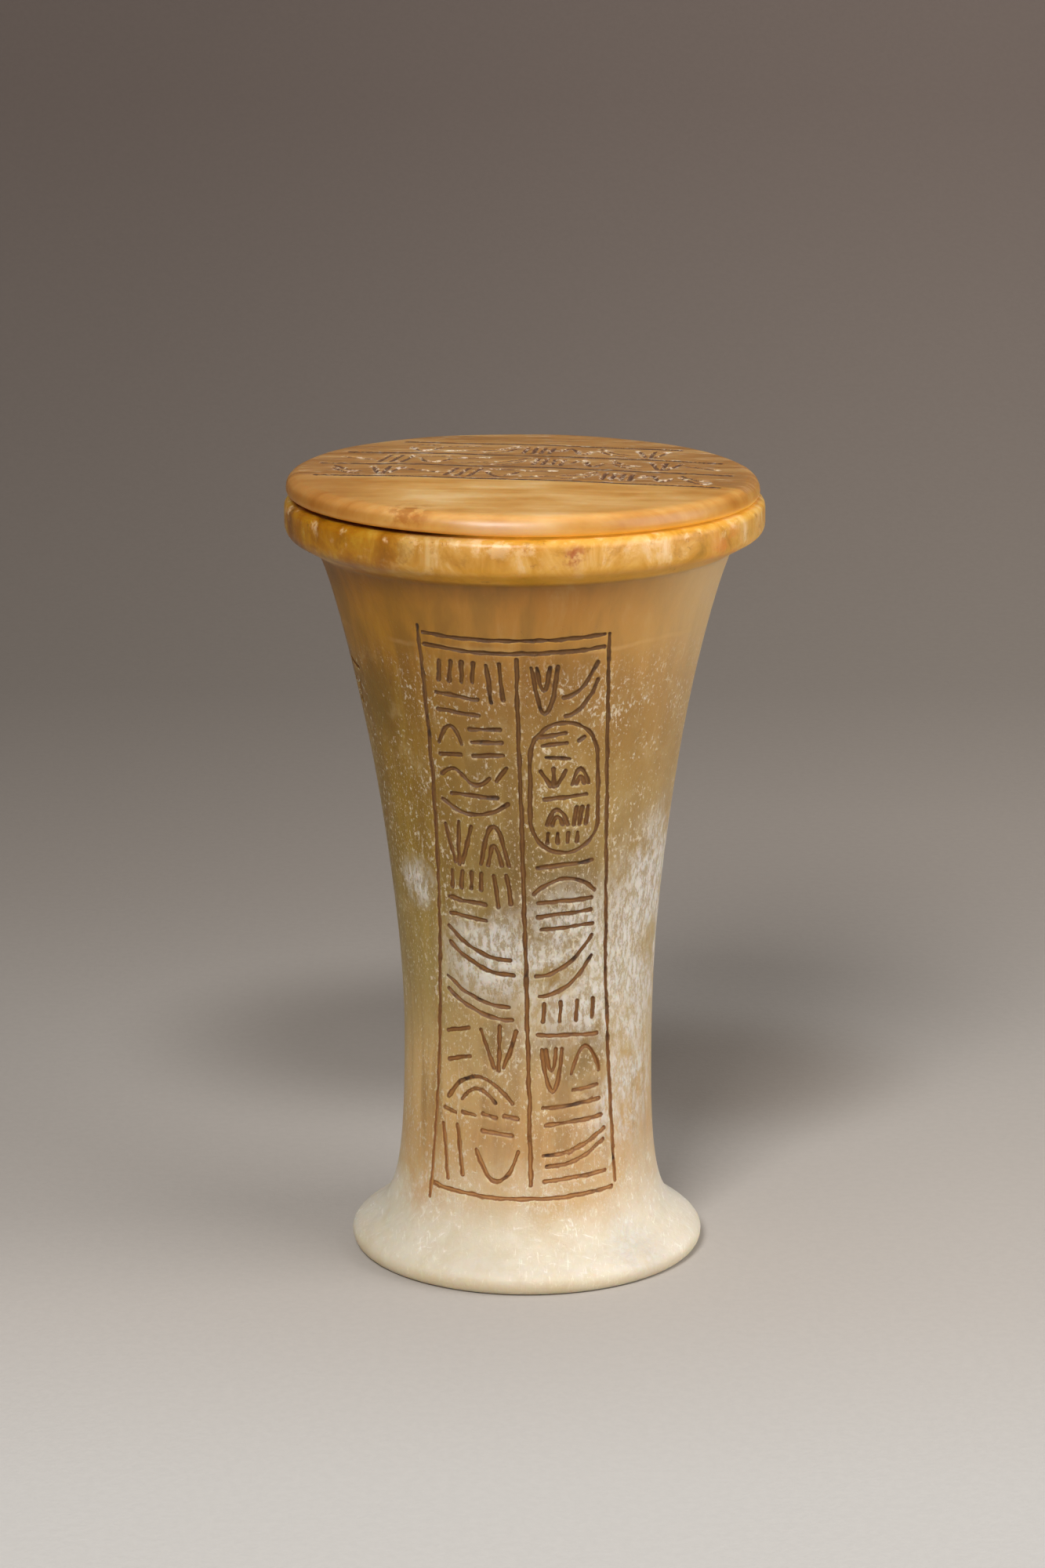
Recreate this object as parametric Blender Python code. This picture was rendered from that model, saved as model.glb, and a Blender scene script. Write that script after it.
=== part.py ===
"""Lidded ointment jar of banded calcite, with its loose lid.

The jar is turned from one block: a flared foot, a narrow waist, a body that opens
out to a projecting rim, and a drilled hollow. A carved panel of ruled lines and
strokes runs down its front. The lid is a low disc with a boss that drops into the
mouth, and its top is ruled and carved too. Metres, +Z up, the foot's middle at the
origin, the carved front facing -Y.
"""
import math

import bmesh
import bpy
from mathutils import Vector

# Outside of the jar, from the foot up.
FOOT_RADIUS = 0.0391
FOOT_EDGE_HEIGHT = 0.0042
FOOT_LOWER_ROUNDING = 0.0018
FOOT_UPPER_ROUNDING = 0.0042
FOOT_SWEEP_IN = 0.0078
FOOT_SWEEP_UP = 0.0059
WAIST_RADIUS = 0.02744
WAIST_HEIGHT = 0.0480
WAIST_HANDLE_DOWN = 0.0410
WAIST_HANDLE_UP = 0.0450
NECK_HANDLE = 0.0105
NECK_SLOPE = 0.5
RIM_RADIUS = 0.0520
RIM_OVERHANG = 0.0070
RIM_HEIGHT = 0.0110
RIM_BAND_HEIGHT = 0.0071
RIM_LOWER_ROUNDING = 0.0018
RIM_UPPER_ROUNDING = 0.0016
JAR_HEIGHT = 0.1695

# The drilled hollow.
WAIST_WALL = 0.0090
NECK_WALL = 0.0070
FLOOR_THICKNESS = 0.0120
FLOOR_ROUNDING = 0.0050
MOUTH_ROUNDING = 0.0010

# The lid. It lies a little off the middle and leans by a hair on the uneven rim.
LID_INSET = 0.0008
LID_THICKNESS = 0.0043
LID_LOWER_ROUNDING = 0.0012
LID_UPPER_ROUNDING = 0.0019
BOSS_DEPTH = 0.0040
BOSS_ROUNDING = 0.0010
LID_CLEARANCE = 0.0015
LID_SHIFT = 0.0009
LID_LEAN = math.radians(0.4)
RESTING_GAP = 0.0003

# The carving: V-shaped strokes cut from the surface.
GROOVE_WIDTH = 0.0011
GROOVE_DEPTH = 0.0007
GROOVE_CLEARANCE = 0.0003
STROKE_STEP = 0.0060

# The front panel, measured along the surface from the jar's front line.
PANEL_LEFT = 0.0206
PANEL_RIGHT = 0.0181
PANEL_FLARE = 0.0032
PANEL_RIGHT_TOP_FLARE = 0.0004
PANEL_DROP = 0.0225
PANEL_RISE = 0.0197
PANEL_LINE_PITCH = 0.0029
PANEL_LINE_SAG = 0.0008
PANEL_SIDE_OVERRUN = 0.0030
DIVIDER_OFFSET = -0.0006
DIVIDER_LEAN = 0.0026
COLUMN_MARGIN = 0.0022
ROW_GAP = 0.0016
RING_WIDTH = 0.0150
SIDE_MARK_ANGLE = math.radians(-74.0)
SIDE_MARK_DROP = 0.0330
SIDE_MARK_HEIGHT = 0.0110
SIDE_MARK_WIDTH = 0.0060

# The lid's carving: ruled lines with a row of strokes between each two.
LID_RULE_FRONT = -0.0109
LID_RULE_PITCH = 0.0145
LID_RULE_COUNT = 4
LID_RULE_TURN = math.radians(-8.0)
LID_RULE_MARGIN = 0.0035
LID_ROW_HEIGHT = 0.0080
LID_SIGN_PITCH = 0.0102

SEGMENTS = 48
BODY_STEPS = 8
BORE_STEPS = 6
FOOT_STEPS = 8
ROUND_STEPS = 2
MERGE_DISTANCE = 0.00001

MOUTH_RADIUS = RIM_RADIUS - RIM_OVERHANG - NECK_WALL
LID_RADIUS = RIM_RADIUS - LID_INSET


def bezier(start, start_handle, end_handle, end, steps):
    """Points of a cubic curve from start to end, both ends included."""
    points = []
    for step in range(steps + 1):
        t = step / steps
        u = 1.0 - t
        weights = (u * u * u, 3 * u * u * t, 3 * u * t * t, t * t * t)
        corners = (start, start_handle, end_handle, end)
        points.append(tuple(sum(w * c[i] for w, c in zip(weights, corners)) for i in (0, 1)))
    return points


def rounded(before, corner, after, radius):
    """Points of the arc that rounds a corner between two neighbours."""
    corner, before, after = Vector(corner), Vector(before), Vector(after)
    back = (before - corner).normalized()
    on = (after - corner).normalized()
    half_angle = back.angle(on) / 2
    run = radius / math.tan(half_angle)
    centre = corner + (back + on).normalized() * (radius / math.sin(half_angle))
    start = corner + back * run - centre
    end = corner + on * run - centre
    turn = start.angle_signed(end)
    points = []
    for step in range(ROUND_STEPS + 1):
        angle = -turn * step / ROUND_STEPS
        spoke = Vector((start.x * math.cos(angle) - start.y * math.sin(angle),
                        start.x * math.sin(angle) + start.y * math.cos(angle)))
        points.append(tuple(centre + spoke))
    return points


def body_curve(waist_radius, neck_radius, steps):
    """The rise from the waist to the underside of the rim, the same inside and out."""
    neck_height = JAR_HEIGHT - RIM_HEIGHT
    return bezier((waist_radius, WAIST_HEIGHT),
                  (waist_radius, WAIST_HEIGHT + WAIST_HANDLE_UP),
                  (neck_radius - NECK_HANDLE * NECK_SLOPE, neck_height - NECK_HANDLE),
                  (neck_radius, neck_height), steps)


def jar_outside():
    """The outer profile, from the edge of the foot up to the top of the rim."""
    foot_corner = (FOOT_RADIUS, 0.0)
    foot_top = (FOOT_RADIUS, FOOT_EDGE_HEIGHT)
    sweep = bezier(foot_top,
                   (FOOT_RADIUS - FOOT_SWEEP_IN, FOOT_EDGE_HEIGHT + FOOT_SWEEP_UP),
                   (WAIST_RADIUS, WAIST_HEIGHT - WAIST_HANDLE_DOWN),
                   (WAIST_RADIUS, WAIST_HEIGHT), FOOT_STEPS)
    body = body_curve(WAIST_RADIUS, RIM_RADIUS - RIM_OVERHANG, BODY_STEPS)
    rim_low = (RIM_RADIUS, JAR_HEIGHT - RIM_BAND_HEIGHT)
    rim_top = (RIM_RADIUS, JAR_HEIGHT)
    mouth = (MOUTH_RADIUS, JAR_HEIGHT)
    profile = rounded((0.0, 0.0), foot_corner, foot_top, FOOT_LOWER_ROUNDING)
    profile += rounded(foot_corner, foot_top, sweep[1], FOOT_UPPER_ROUNDING)
    profile += sweep[1:] + body[1:]
    profile += rounded(body[-1], rim_low, rim_top, RIM_LOWER_ROUNDING)
    profile += rounded(rim_low, rim_top, mouth, RIM_UPPER_ROUNDING)
    return profile


def jar_inside():
    """The hollow's profile, from the lip of the mouth down to the edge of the floor."""
    bore_radius = WAIST_RADIUS - WAIST_WALL
    bore = body_curve(bore_radius, MOUTH_RADIUS, BORE_STEPS)
    bore.reverse()
    lip = (MOUTH_RADIUS, JAR_HEIGHT)
    floor_corner = (bore_radius, FLOOR_THICKNESS)
    profile = rounded((RIM_RADIUS, JAR_HEIGHT), lip, bore[0], MOUTH_ROUNDING)
    profile += bore
    profile += rounded(bore[-1], floor_corner, (0.0, FLOOR_THICKNESS), FLOOR_ROUNDING)
    return profile


def lid_profile():
    """The lid's profile, from the edge of the boss's underside round to the edge of the top."""
    boss_radius = MOUTH_RADIUS - LID_CLEARANCE
    boss_low = (boss_radius, -BOSS_DEPTH)
    boss_root = (boss_radius, 0.0)
    edge_low = (LID_RADIUS, 0.0)
    edge_top = (LID_RADIUS, LID_THICKNESS)
    profile = rounded((0.0, -BOSS_DEPTH), boss_low, boss_root, BOSS_ROUNDING)
    profile.append(boss_root)
    profile += rounded(boss_root, edge_low, edge_top, LID_LOWER_ROUNDING)
    profile += rounded(edge_low, edge_top, (0.0, LID_THICKNESS), LID_UPPER_ROUNDING)
    return profile


def turned(name, profile):
    """A closed solid: a profile spun once round the upright axis, its two flat ends filled."""
    shape = bmesh.new()
    points = [shape.verts.new((radius, 0.0, height)) for radius, height in profile]
    edges = [shape.edges.new(pair) for pair in zip(points, points[1:])]
    bmesh.ops.spin(shape, geom=points + edges, cent=(0, 0, 0), axis=(0, 0, 1),
                   angle=2 * math.pi, steps=SEGMENTS)
    bmesh.ops.remove_doubles(shape, verts=shape.verts, dist=MERGE_DISTANCE)
    bmesh.ops.holes_fill(shape, edges=shape.edges, sides=0)
    bmesh.ops.recalc_face_normals(shape, faces=shape.faces)
    mesh = bpy.data.meshes.new(name)
    shape.to_mesh(mesh)
    shape.free()
    piece = bpy.data.objects.new(name, mesh)
    bpy.context.scene.collection.objects.link(piece)
    mesh.shade_smooth()
    mesh.set_sharp_from_angle(angle=math.radians(40))
    return piece


def spread(count, start=0.0, end=1.0):
    """Evenly spaced places from start to end."""
    return [start + (end - start) * i / (count - 1) for i in range(count)]


def bow(low, rise, start=0.0, end=1.0, steps=4):
    """An open arc over a span, with its middle raised, or sunk where rise is below zero."""
    return [(start + (end - start) * t, low + rise * 4 * t * (1 - t)) for t in spread(steps + 1)]


def wave(middle, swing, start=0.0, end=1.0, steps=6):
    """One full swing of a lying S."""
    return [(start + (end - start) * t, middle + swing * math.sin(2 * math.pi * t))
            for t in spread(steps + 1)]


def swoop(top, low, start, end, steps=4):
    """A stroke that falls steeply and runs out flat."""
    return [(start + (end - start) * t, low + (top - low) * (1 - t) ** 2)
            for t in spread(steps + 1)]


# Each mark is a few open strokes in a cell one wide and one high. None is a letter or a figure.
MARKS = {
    "bar": [[(0.0, 0.65), (1.0, 0.35)]],
    "rising bar": [[(0.0, 0.3), (1.0, 0.7)]],
    "two bars": [[(0.0, 0.75), (0.95, 0.9)], [(0.05, 0.1), (1.0, 0.25)]],
    "three bars": [[(0.05 * i, y), (0.85 + 0.05 * i, y + 0.05)] for i, y in enumerate((0.9, 0.5, 0.1))],
    "bows": [bow(0.05, 0.9), bow(0.05, 0.45, 0.25, 0.75, 3)],
    "cups": [bow(0.95, -0.9), bow(0.95, -0.45, 0.2, 0.7, 3)],
    "bow and bar": [bow(0.4, 0.55), [(0.05, 0.05), (0.95, 0.1)]],
    "cup and bar": [bow(0.6, -0.55), [(0.15, 0.95), (0.85, 0.9)]],
    "ticks": [[(x, 0.1), (x + 0.03, 0.9)] for x in spread(4, 0.05, 0.92)],
    "ticks and bar": [[(x, 0.5), (x + 0.02, 1.0)] for x in spread(4, 0.08, 0.9)]
                     + [[(0.0, 0.15), (1.0, 0.05)]],
    "slants": [[(x, 0.0), (x + 0.22, 1.0)] for x in spread(3, 0.0, 0.78)],
    "tall slants": [[(0.1, 0.95), (0.3, 0.0)], [(0.7, 1.0), (0.9, 0.1)]],
    "fan": [[(0.36, 0.05), (0.0, 0.9)], [(0.5, 0.0), (0.52, 1.0)], [(0.64, 0.05), (1.0, 0.9)]],
    "wave": [wave(0.5, 0.4)],
    "wave and dash": [wave(0.45, 0.35, 0.0, 0.75), [(0.85, 0.35), (1.0, 0.95)]],
    "swoops": [swoop(1.0, 0.35, 0.0, 0.95), swoop(0.65, 0.0, 0.02, 1.0)],
    "rises": [swoop(1.0, 0.35, 1.0, 0.0), swoop(0.65, 0.0, 1.0, 0.05)],
    "dashes": [[(x, 0.6), (x + 0.17, 0.4)] for x in spread(4, 0.0, 0.83)],
    "dot": [[(0.3, 0.4), (0.7, 0.6)]],
}

# Rows of each column from the top: share of the height, then each mark with its start and end.
LEFT_ROWS = (
    (7, (("ticks and bar", 0.05, 0.62), ("tall slants", 0.72, 0.98))),
    (2, (("bar", 0.05, 0.62),)),
    (6, (("bow and bar", 0.02, 0.36), ("three bars", 0.48, 0.95))),
    (4, (("wave and dash", 0.02, 0.96),)),
    (4, (("cup and bar", 0.0, 0.96),)),
    (8, (("fan", 0.02, 0.42), ("bows", 0.55, 0.95))),
    (6, (("ticks and bar", 0.05, 0.60), ("tall slants", 0.70, 0.98))),
    (2, (("bar", 0.05, 0.60),)),
    (8, (("swoops", 0.03, 0.97),)),
    (7, (("swoops", 0.0, 0.94),)),
    (8, (("two bars", 0.02, 0.36), ("fan", 0.52, 0.98))),
    (5, (("bows", 0.04, 0.92),)),
    (2, (("dashes", 0.02, 0.98),)),
    (10, (("tall slants", 0.0, 0.34), ("cup and bar", 0.48, 0.98))),
)
RIGHT_ROWS_ABOVE_RING = (
    (9, (("cups", 0.05, 0.42), ("rises", 0.50, 0.98))),
)
RING_ROWS = (
    (5, (("two bars", 0.02, 0.55), ("dot", 0.70, 1.0))),
    (3, (("bar", 0.12, 0.60),)),
    (6, (("fan", 0.0, 0.52), ("bows", 0.66, 1.0))),
    (3, (("rising bar", 0.08, 0.95),)),
    (6, (("bows", 0.12, 0.55), ("slants", 0.68, 1.0))),
    (4, (("ticks", 0.10, 0.80),)),
)
RIGHT_ROWS_BELOW_RING = (
    (2, (("rising bar", 0.05, 0.90),)),
    (5, (("bow and bar", 0.0, 0.95),)),
    (4, (("two bars", 0.05, 0.92),)),
    (11, (("rises", 0.0, 0.90),)),
    (7, (("ticks and bar", 0.0, 0.96),)),
    (9, (("cups", 0.05, 0.36), ("bow and bar", 0.50, 0.96))),
    (5, (("two bars", 0.05, 0.97),)),
    (6, (("dot", 0.30, 0.70), ("rises", 0.05, 0.97))),
    (2, (("rising bar", 0.05, 0.97),)),
)
RING_SHARE_OF_COLUMN = 0.25
ABOVE_RING_SHARE_OF_COLUMN = 0.113

LID_MARKS = ("swoops", "fan", "bar", "slants", "cup and bar", "two bars", "rises", "ticks", "wave")


def row_strokes(rows, left, right, top, bottom):
    """Marks of stacked rows, between a left and a right edge given at each height."""
    strokes = []
    room = (top - bottom) - ROW_GAP * (len(rows) - 1)
    unit = room / sum(share for share, marks in rows)
    row_top = top
    for share, marks in rows:
        height = share * unit
        row_bottom = row_top - height
        middle = (row_top + row_bottom) / 2
        start, width = left(middle), right(middle) - left(middle)
        for mark, mark_start, mark_end in marks:
            for stroke in MARKS[mark]:
                strokes.append([(start + width * (mark_start + (mark_end - mark_start) * x),
                                 row_bottom + height * y) for x, y in stroke])
        row_top = row_bottom - ROW_GAP
    return strokes


def panel_edge(width, top_flare, height):
    """Distance of a panel side from the front line, widest at the panel's ends."""
    top, bottom = JAR_HEIGHT - PANEL_DROP, PANEL_RISE
    along = 2 * (height - bottom) / (top - bottom) - 1
    return width + (top_flare if along > 0 else PANEL_FLARE) * along * along


def panel_left(height):
    return -panel_edge(PANEL_LEFT, PANEL_FLARE, height)


def panel_right(height):
    return panel_edge(PANEL_RIGHT, PANEL_RIGHT_TOP_FLARE, height)


def divider(height):
    """The line between the two columns, which leans a little."""
    top, bottom = JAR_HEIGHT - PANEL_DROP, PANEL_RISE
    return DIVIDER_OFFSET + DIVIDER_LEAN * (0.5 - (height - bottom) / (top - bottom))


def side_stroke(edge, top, bottom):
    """An upright line that follows an edge of the panel."""
    return [(edge(height), height) for height in spread(14, top, bottom)]


def cross_line(height):
    """A line across the panel that sags a little in the middle."""
    left, right = panel_left(height) + GROOVE_WIDTH, panel_right(height) - GROOVE_WIDTH
    return [(x, height - PANEL_LINE_SAG * 4 * t * (1 - t))
            for x, t in ((left + (right - left) * t, t) for t in spread(9))]


def ring_stroke(left, right, top, bottom):
    """An upright oval ring with round ends, as a closed stroke."""
    radius = (right - left) / 2
    middle = (left + right) / 2
    stroke = []
    for centre, start in ((top - radius, 0.0), (bottom + radius, math.pi)):
        for angle in spread(7, start, start + math.pi):
            stroke.append((middle + radius * math.cos(angle), centre + radius * math.sin(angle)))
    stroke.append(stroke[0])
    return stroke


def panel_frame():
    """The lines round the panel and between its columns."""
    top, bottom = JAR_HEIGHT - PANEL_DROP, PANEL_RISE
    clear = 2 * GROOVE_WIDTH
    return [cross_line(top), cross_line(top - PANEL_LINE_PITCH), cross_line(bottom),
            side_stroke(panel_left, top + PANEL_LINE_PITCH / 2, bottom - PANEL_SIDE_OVERRUN),
            side_stroke(panel_right, top, bottom + GROOVE_WIDTH),
            side_stroke(divider, top - PANEL_LINE_PITCH - clear, bottom + clear)]


def panel_marks():
    """The rows of marks in both columns, and the ring in the right one."""
    top = JAR_HEIGHT - PANEL_DROP - PANEL_LINE_PITCH - COLUMN_MARGIN - GROOVE_WIDTH
    bottom = PANEL_RISE + COLUMN_MARGIN

    def column_left(height):
        return divider(height) + COLUMN_MARGIN

    def column_right(height):
        return panel_right(height) - COLUMN_MARGIN

    strokes = row_strokes(LEFT_ROWS, lambda height: panel_left(height) + COLUMN_MARGIN,
                          lambda height: divider(height) - COLUMN_MARGIN, top, bottom)
    ring_top = top - ABOVE_RING_SHARE_OF_COLUMN * (top - bottom)
    ring_bottom = ring_top - RING_SHARE_OF_COLUMN * (top - bottom)
    ring_middle = (column_left(ring_top) + column_right(ring_top)) / 2
    ring_left, ring_right = ring_middle - RING_WIDTH / 2, ring_middle + RING_WIDTH / 2
    strokes += row_strokes(RIGHT_ROWS_ABOVE_RING, column_left, column_right, top, ring_top + ROW_GAP)
    strokes.append(ring_stroke(ring_left, ring_right, ring_top, ring_bottom))
    strokes += row_strokes(RING_ROWS, lambda height: ring_left + COLUMN_MARGIN,
                           lambda height: ring_right - COLUMN_MARGIN,
                           ring_top - COLUMN_MARGIN, ring_bottom + COLUMN_MARGIN)
    strokes += row_strokes(RIGHT_ROWS_BELOW_RING, column_left, column_right,
                           ring_bottom - ROW_GAP, bottom)
    return strokes


def side_marks():
    """A short worn group of marks on the jar's left side."""
    top = JAR_HEIGHT - SIDE_MARK_DROP
    middle = SIDE_MARK_ANGLE * outer_radius(top)
    rows = ((3, (("bar", 0.0, 1.0),)), (5, (("ticks", 0.0, 0.9),)))
    return row_strokes(rows, lambda height: middle - SIDE_MARK_WIDTH / 2,
                       lambda height: middle + SIDE_MARK_WIDTH / 2, top, top - SIDE_MARK_HEIGHT)


def lid_strokes():
    """Ruled lines across the lid's top, and a row of marks in each space between them."""
    strokes = []
    for rule in range(LID_RULE_COUNT):
        y = LID_RULE_FRONT + rule * LID_RULE_PITCH
        reach = math.sqrt((LID_RADIUS - LID_UPPER_ROUNDING - LID_RULE_MARGIN) ** 2 - y * y)
        strokes.append([(-reach, y), (reach, y)])
        if rule == LID_RULE_COUNT - 1:
            continue
        row_middle = y + LID_RULE_PITCH / 2
        row_far = row_middle + LID_ROW_HEIGHT / 2
        row_reach = math.sqrt((LID_RADIUS - LID_UPPER_ROUNDING - LID_RULE_MARGIN) ** 2 - row_far ** 2)
        count = int(2 * row_reach / LID_SIGN_PITCH)
        for place in range(count):
            left = (place - count / 2) * LID_SIGN_PITCH + LID_RULE_MARGIN / 4
            width = LID_SIGN_PITCH - LID_RULE_MARGIN / 2
            mark = LID_MARKS[(place + 2 * rule) % len(LID_MARKS)]
            for stroke in MARKS[mark]:
                strokes.append([(left + width * x, row_far - LID_ROW_HEIGHT * (1 - y_share))
                                for x, y_share in stroke])
    turn_cos, turn_sin = math.cos(LID_RULE_TURN), math.sin(LID_RULE_TURN)
    return [[(x * turn_cos - y * turn_sin, x * turn_sin + y * turn_cos) for x, y in stroke]
            for stroke in strokes]


def outer_radius(height):
    """The jar's outer radius at a height, read from its profile."""
    profile = jar_outside()
    for (low_radius, low), (high_radius, high) in zip(profile[1:], profile[2:]):
        if low <= height <= high and high > low:
            return low_radius + (high_radius - low_radius) * (height - low) / (high - low)
    raise ValueError("height is off the jar")


def on_jar(across, height, outward):
    """The point on the jar's front at a distance round from its front line."""
    radius = outer_radius(height)
    angle = across / radius
    return Vector((math.sin(angle), -math.cos(angle), 0.0)) * (radius + outward) + Vector((0, 0, height))


def on_lid(across, along, outward):
    """The point on the lid's flat top, in the lid's own frame."""
    return Vector((across, along, LID_THICKNESS + outward))


def divided(stroke):
    """A stroke with points no further apart than the curved surface allows."""
    points = [stroke[0]]
    for start, end in zip(stroke, stroke[1:]):
        parts = max(1, math.ceil(math.dist(start, end) / STROKE_STEP))
        for part in range(1, parts + 1):
            share = part / parts
            points.append(tuple(a + (b - a) * share for a, b in zip(start, end)))
    return points


def add_groove(shape, points, place):
    """One V-shaped prism along a stroke, standing proud of the surface and sunk into it."""
    closed = math.dist(points[0], points[-1]) < MERGE_DISTANCE
    if closed:
        points = points[:-1]
    count = len(points)
    half_width = GROOVE_WIDTH / 2 * (GROOVE_DEPTH + GROOVE_CLEARANCE) / GROOVE_DEPTH
    rings = []
    for i, (x, y) in enumerate(points):
        before = points[i - 1] if closed or i > 0 else points[i]
        after = points[(i + 1) % count] if closed or i < count - 1 else points[i]
        along = Vector((after[0] - before[0], after[1] - before[1])).normalized()
        side = Vector((-along.y, along.x)) * half_width
        rings.append((shape.verts.new(place(x + side.x, y + side.y, GROOVE_CLEARANCE)),
                      shape.verts.new(place(x, y, -GROOVE_DEPTH)),
                      shape.verts.new(place(x - side.x, y - side.y, GROOVE_CLEARANCE))))
    pairs = list(zip(rings, rings[1:]))
    if closed:
        pairs.append((rings[-1], rings[0]))
    else:
        shape.faces.new(rings[0])
        shape.faces.new(rings[-1])
    for ring, following in pairs:
        for i in range(3):
            shape.faces.new((ring[i], ring[(i + 1) % 3], following[(i + 1) % 3], following[i]))


def carve(piece, name, strokes, place):
    """Cut a set of strokes that don't cross each other from a piece's surface."""
    shape = bmesh.new()
    for stroke in strokes:
        add_groove(shape, stroke, place)
    bmesh.ops.recalc_face_normals(shape, faces=shape.faces)
    mesh = bpy.data.meshes.new(name)
    shape.to_mesh(mesh)
    shape.free()
    cutter = bpy.data.objects.new(name, mesh)
    bpy.context.scene.collection.objects.link(cutter)
    cutter.parent = piece
    cutter.hide_render = True
    cutter.display_type = "WIRE"
    cut = piece.modifiers.new(name, "BOOLEAN")
    cut.operation = "DIFFERENCE"
    cut.solver = "EXACT"
    cut.use_self = True
    cut.object = cutter


def calcite(name, colour, roughness):
    """Honey-coloured banded calcite, worn to a low polish."""
    material = bpy.data.materials.new(name)
    material.use_nodes = True
    shader = material.node_tree.nodes["Principled BSDF"]
    shader.inputs["Base Color"].default_value = (*colour, 1.0)
    shader.inputs["Roughness"].default_value = roughness
    shader.inputs["Metallic"].default_value = 0.0
    return material


def make_jar():
    jar = turned("jar", jar_outside() + jar_inside())
    jar.data.materials.append(calcite("jar_calcite", (0.42, 0.28, 0.13), 0.45))
    carve(jar, "panel_frame_cutter", map(divided, panel_frame() + side_marks()), on_jar)
    carve(jar, "panel_marks_cutter", map(divided, panel_marks()), on_jar)
    return jar


def make_lid():
    """The lid on the rim: shifted to the left, its left side raised by the lean."""
    lid = turned("lid", lid_profile())
    lid.data.materials.append(calcite("lid_calcite", (0.50, 0.31, 0.14), 0.40))
    carve(lid, "lid_marks_cutter", lid_strokes(), on_lid)
    seat_reach = LID_RADIUS - LID_LOWER_ROUNDING
    lid.location = (-LID_SHIFT, 0.0, JAR_HEIGHT + RESTING_GAP + seat_reach * math.sin(LID_LEAN))
    lid.rotation_euler = (0.0, LID_LEAN, 0.0)
    return lid


for old in list(bpy.data.objects):
    bpy.data.objects.remove(old, do_unlink=True)
make_jar()
make_lid()
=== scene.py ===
from math import cos, dist, pi, radians, sin, sqrt, tan

import bpy
import numpy as np
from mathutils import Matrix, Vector, noise


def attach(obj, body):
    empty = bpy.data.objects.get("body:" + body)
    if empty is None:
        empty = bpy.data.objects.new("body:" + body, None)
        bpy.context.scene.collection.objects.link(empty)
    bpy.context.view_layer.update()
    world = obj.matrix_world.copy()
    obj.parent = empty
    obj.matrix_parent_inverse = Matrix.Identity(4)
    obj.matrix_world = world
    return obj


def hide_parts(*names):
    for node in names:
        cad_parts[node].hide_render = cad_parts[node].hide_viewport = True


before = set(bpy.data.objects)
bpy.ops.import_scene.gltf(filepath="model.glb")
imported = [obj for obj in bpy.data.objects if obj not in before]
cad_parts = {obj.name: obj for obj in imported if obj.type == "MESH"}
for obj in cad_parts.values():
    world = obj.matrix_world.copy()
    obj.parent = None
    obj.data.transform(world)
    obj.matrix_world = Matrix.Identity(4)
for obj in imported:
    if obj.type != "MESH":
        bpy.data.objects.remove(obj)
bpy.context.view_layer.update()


# The setting, which isn't part of the jar: a camera a metre off at eye height over a table,
# a sweep of warm grey card that is floor and wall in one, and large soft lamps.
# The lamps stand left, right and overhead, so the jar's shadow falls softly behind it. The
# card is a little darker in two round patches there, where the photo's own shadows lie.
CAMERA_PLACE = (-0.00098, -0.9654, 0.3496)
CAMERA_TILT = radians(75.79)
CAMERA_LENS = 104.1
CAMERA_CLIP_START = 0.05
SWEEP_HALF_WIDTH = 4.0
SWEEP_FRONT = -4.0
SWEEP_BEND = 0.55
SWEEP_BEND_RADIUS = 0.75
SWEEP_TOP = 2.4
SWEEP_BEND_STEPS = 24
CARD_START = -0.2
CARD_REACH = 1.4
CARD_RISE_SHARE = 0.6
# The card's greys darken with its distance: painted falloff of the lamps' light.
CARD_GREYS_AND_PAINTED_FALLOFF = ((-0.144, (197, 194, 190)), (-0.043, (191, 185, 179)), (0.05, (187, 180, 173)),
              (0.139, (184, 177, 170)), (0.3, (175, 166, 158)), (0.6, (165, 155, 146)),
              (1.1, (143, 129, 121)))
# Painted shade: the card is darker to its left.
CARD_SIDE = 0.25
CARD_LEFT_PAINTED_SHADE = (222, 222, 222)
CARD_SHADOWS = (((-0.03, 0.15, 0.0), 0.085, (207, 205, 203)),
                ((0.045, 0.12, 0.0), 0.065, (226, 222, 218)))
CARD_MOTTLE_GRAIN = 450.0
CARD_MOTTLE_SHADE = (248, 248, 248)
CARD_SPECULAR = 0.2
CARD_ROUGHNESS = 0.85
CARD_TOOTH_GRAIN = 900.0
CARD_TOOTH_DEPTH = 0.00006
LAMP_COLOUR = (1.0, 0.985, 0.965)
LAMPS = (("key_lamp", (-0.3, -1.00, 0.95), (0.0, 0.0, 0.08), 0.42, 15.0),
         ("right_lamp", (0.85, -0.3, 0.5), (0.0, 0.0, 0.09), 0.85, 7.5),
         ("top_lamp", (0.0, 0.1, 1.25), (0.0, 0.05, 0.1), 0.7, 2.0))
WORLD_COLOUR = (0.78, 0.76, 0.74, 1.0)
WORLD_STRENGTH = 0.12


def linear(colour):
    """A colour given as screen values from 0 to 255, as the shader's linear numbers."""
    return tuple(((c / 255 + 0.055) / 1.055) ** 2.4 for c in colour) + (1.0,)


def work_in(mode):
    bpy.ops.object.mode_set(mode=mode)


def take_all():
    """Select the whole of the mesh being edited."""
    bpy.ops.mesh.select_all(action="SELECT")


def pick(piece=None):
    """Leave a piece alone selected and active, or nothing selected, for the operator to come."""
    if bpy.context.mode != "OBJECT":
        work_in("OBJECT")
    bpy.ops.object.select_all(action="DESELECT")
    if piece:
        piece.select_set(True)
        bpy.context.view_layer.objects.active = piece


def dress(piece, material):
    """Give a piece its material and shade it smooth."""
    pick(piece)
    piece.data.materials.append(material)
    bpy.ops.object.shade_smooth()


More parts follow.
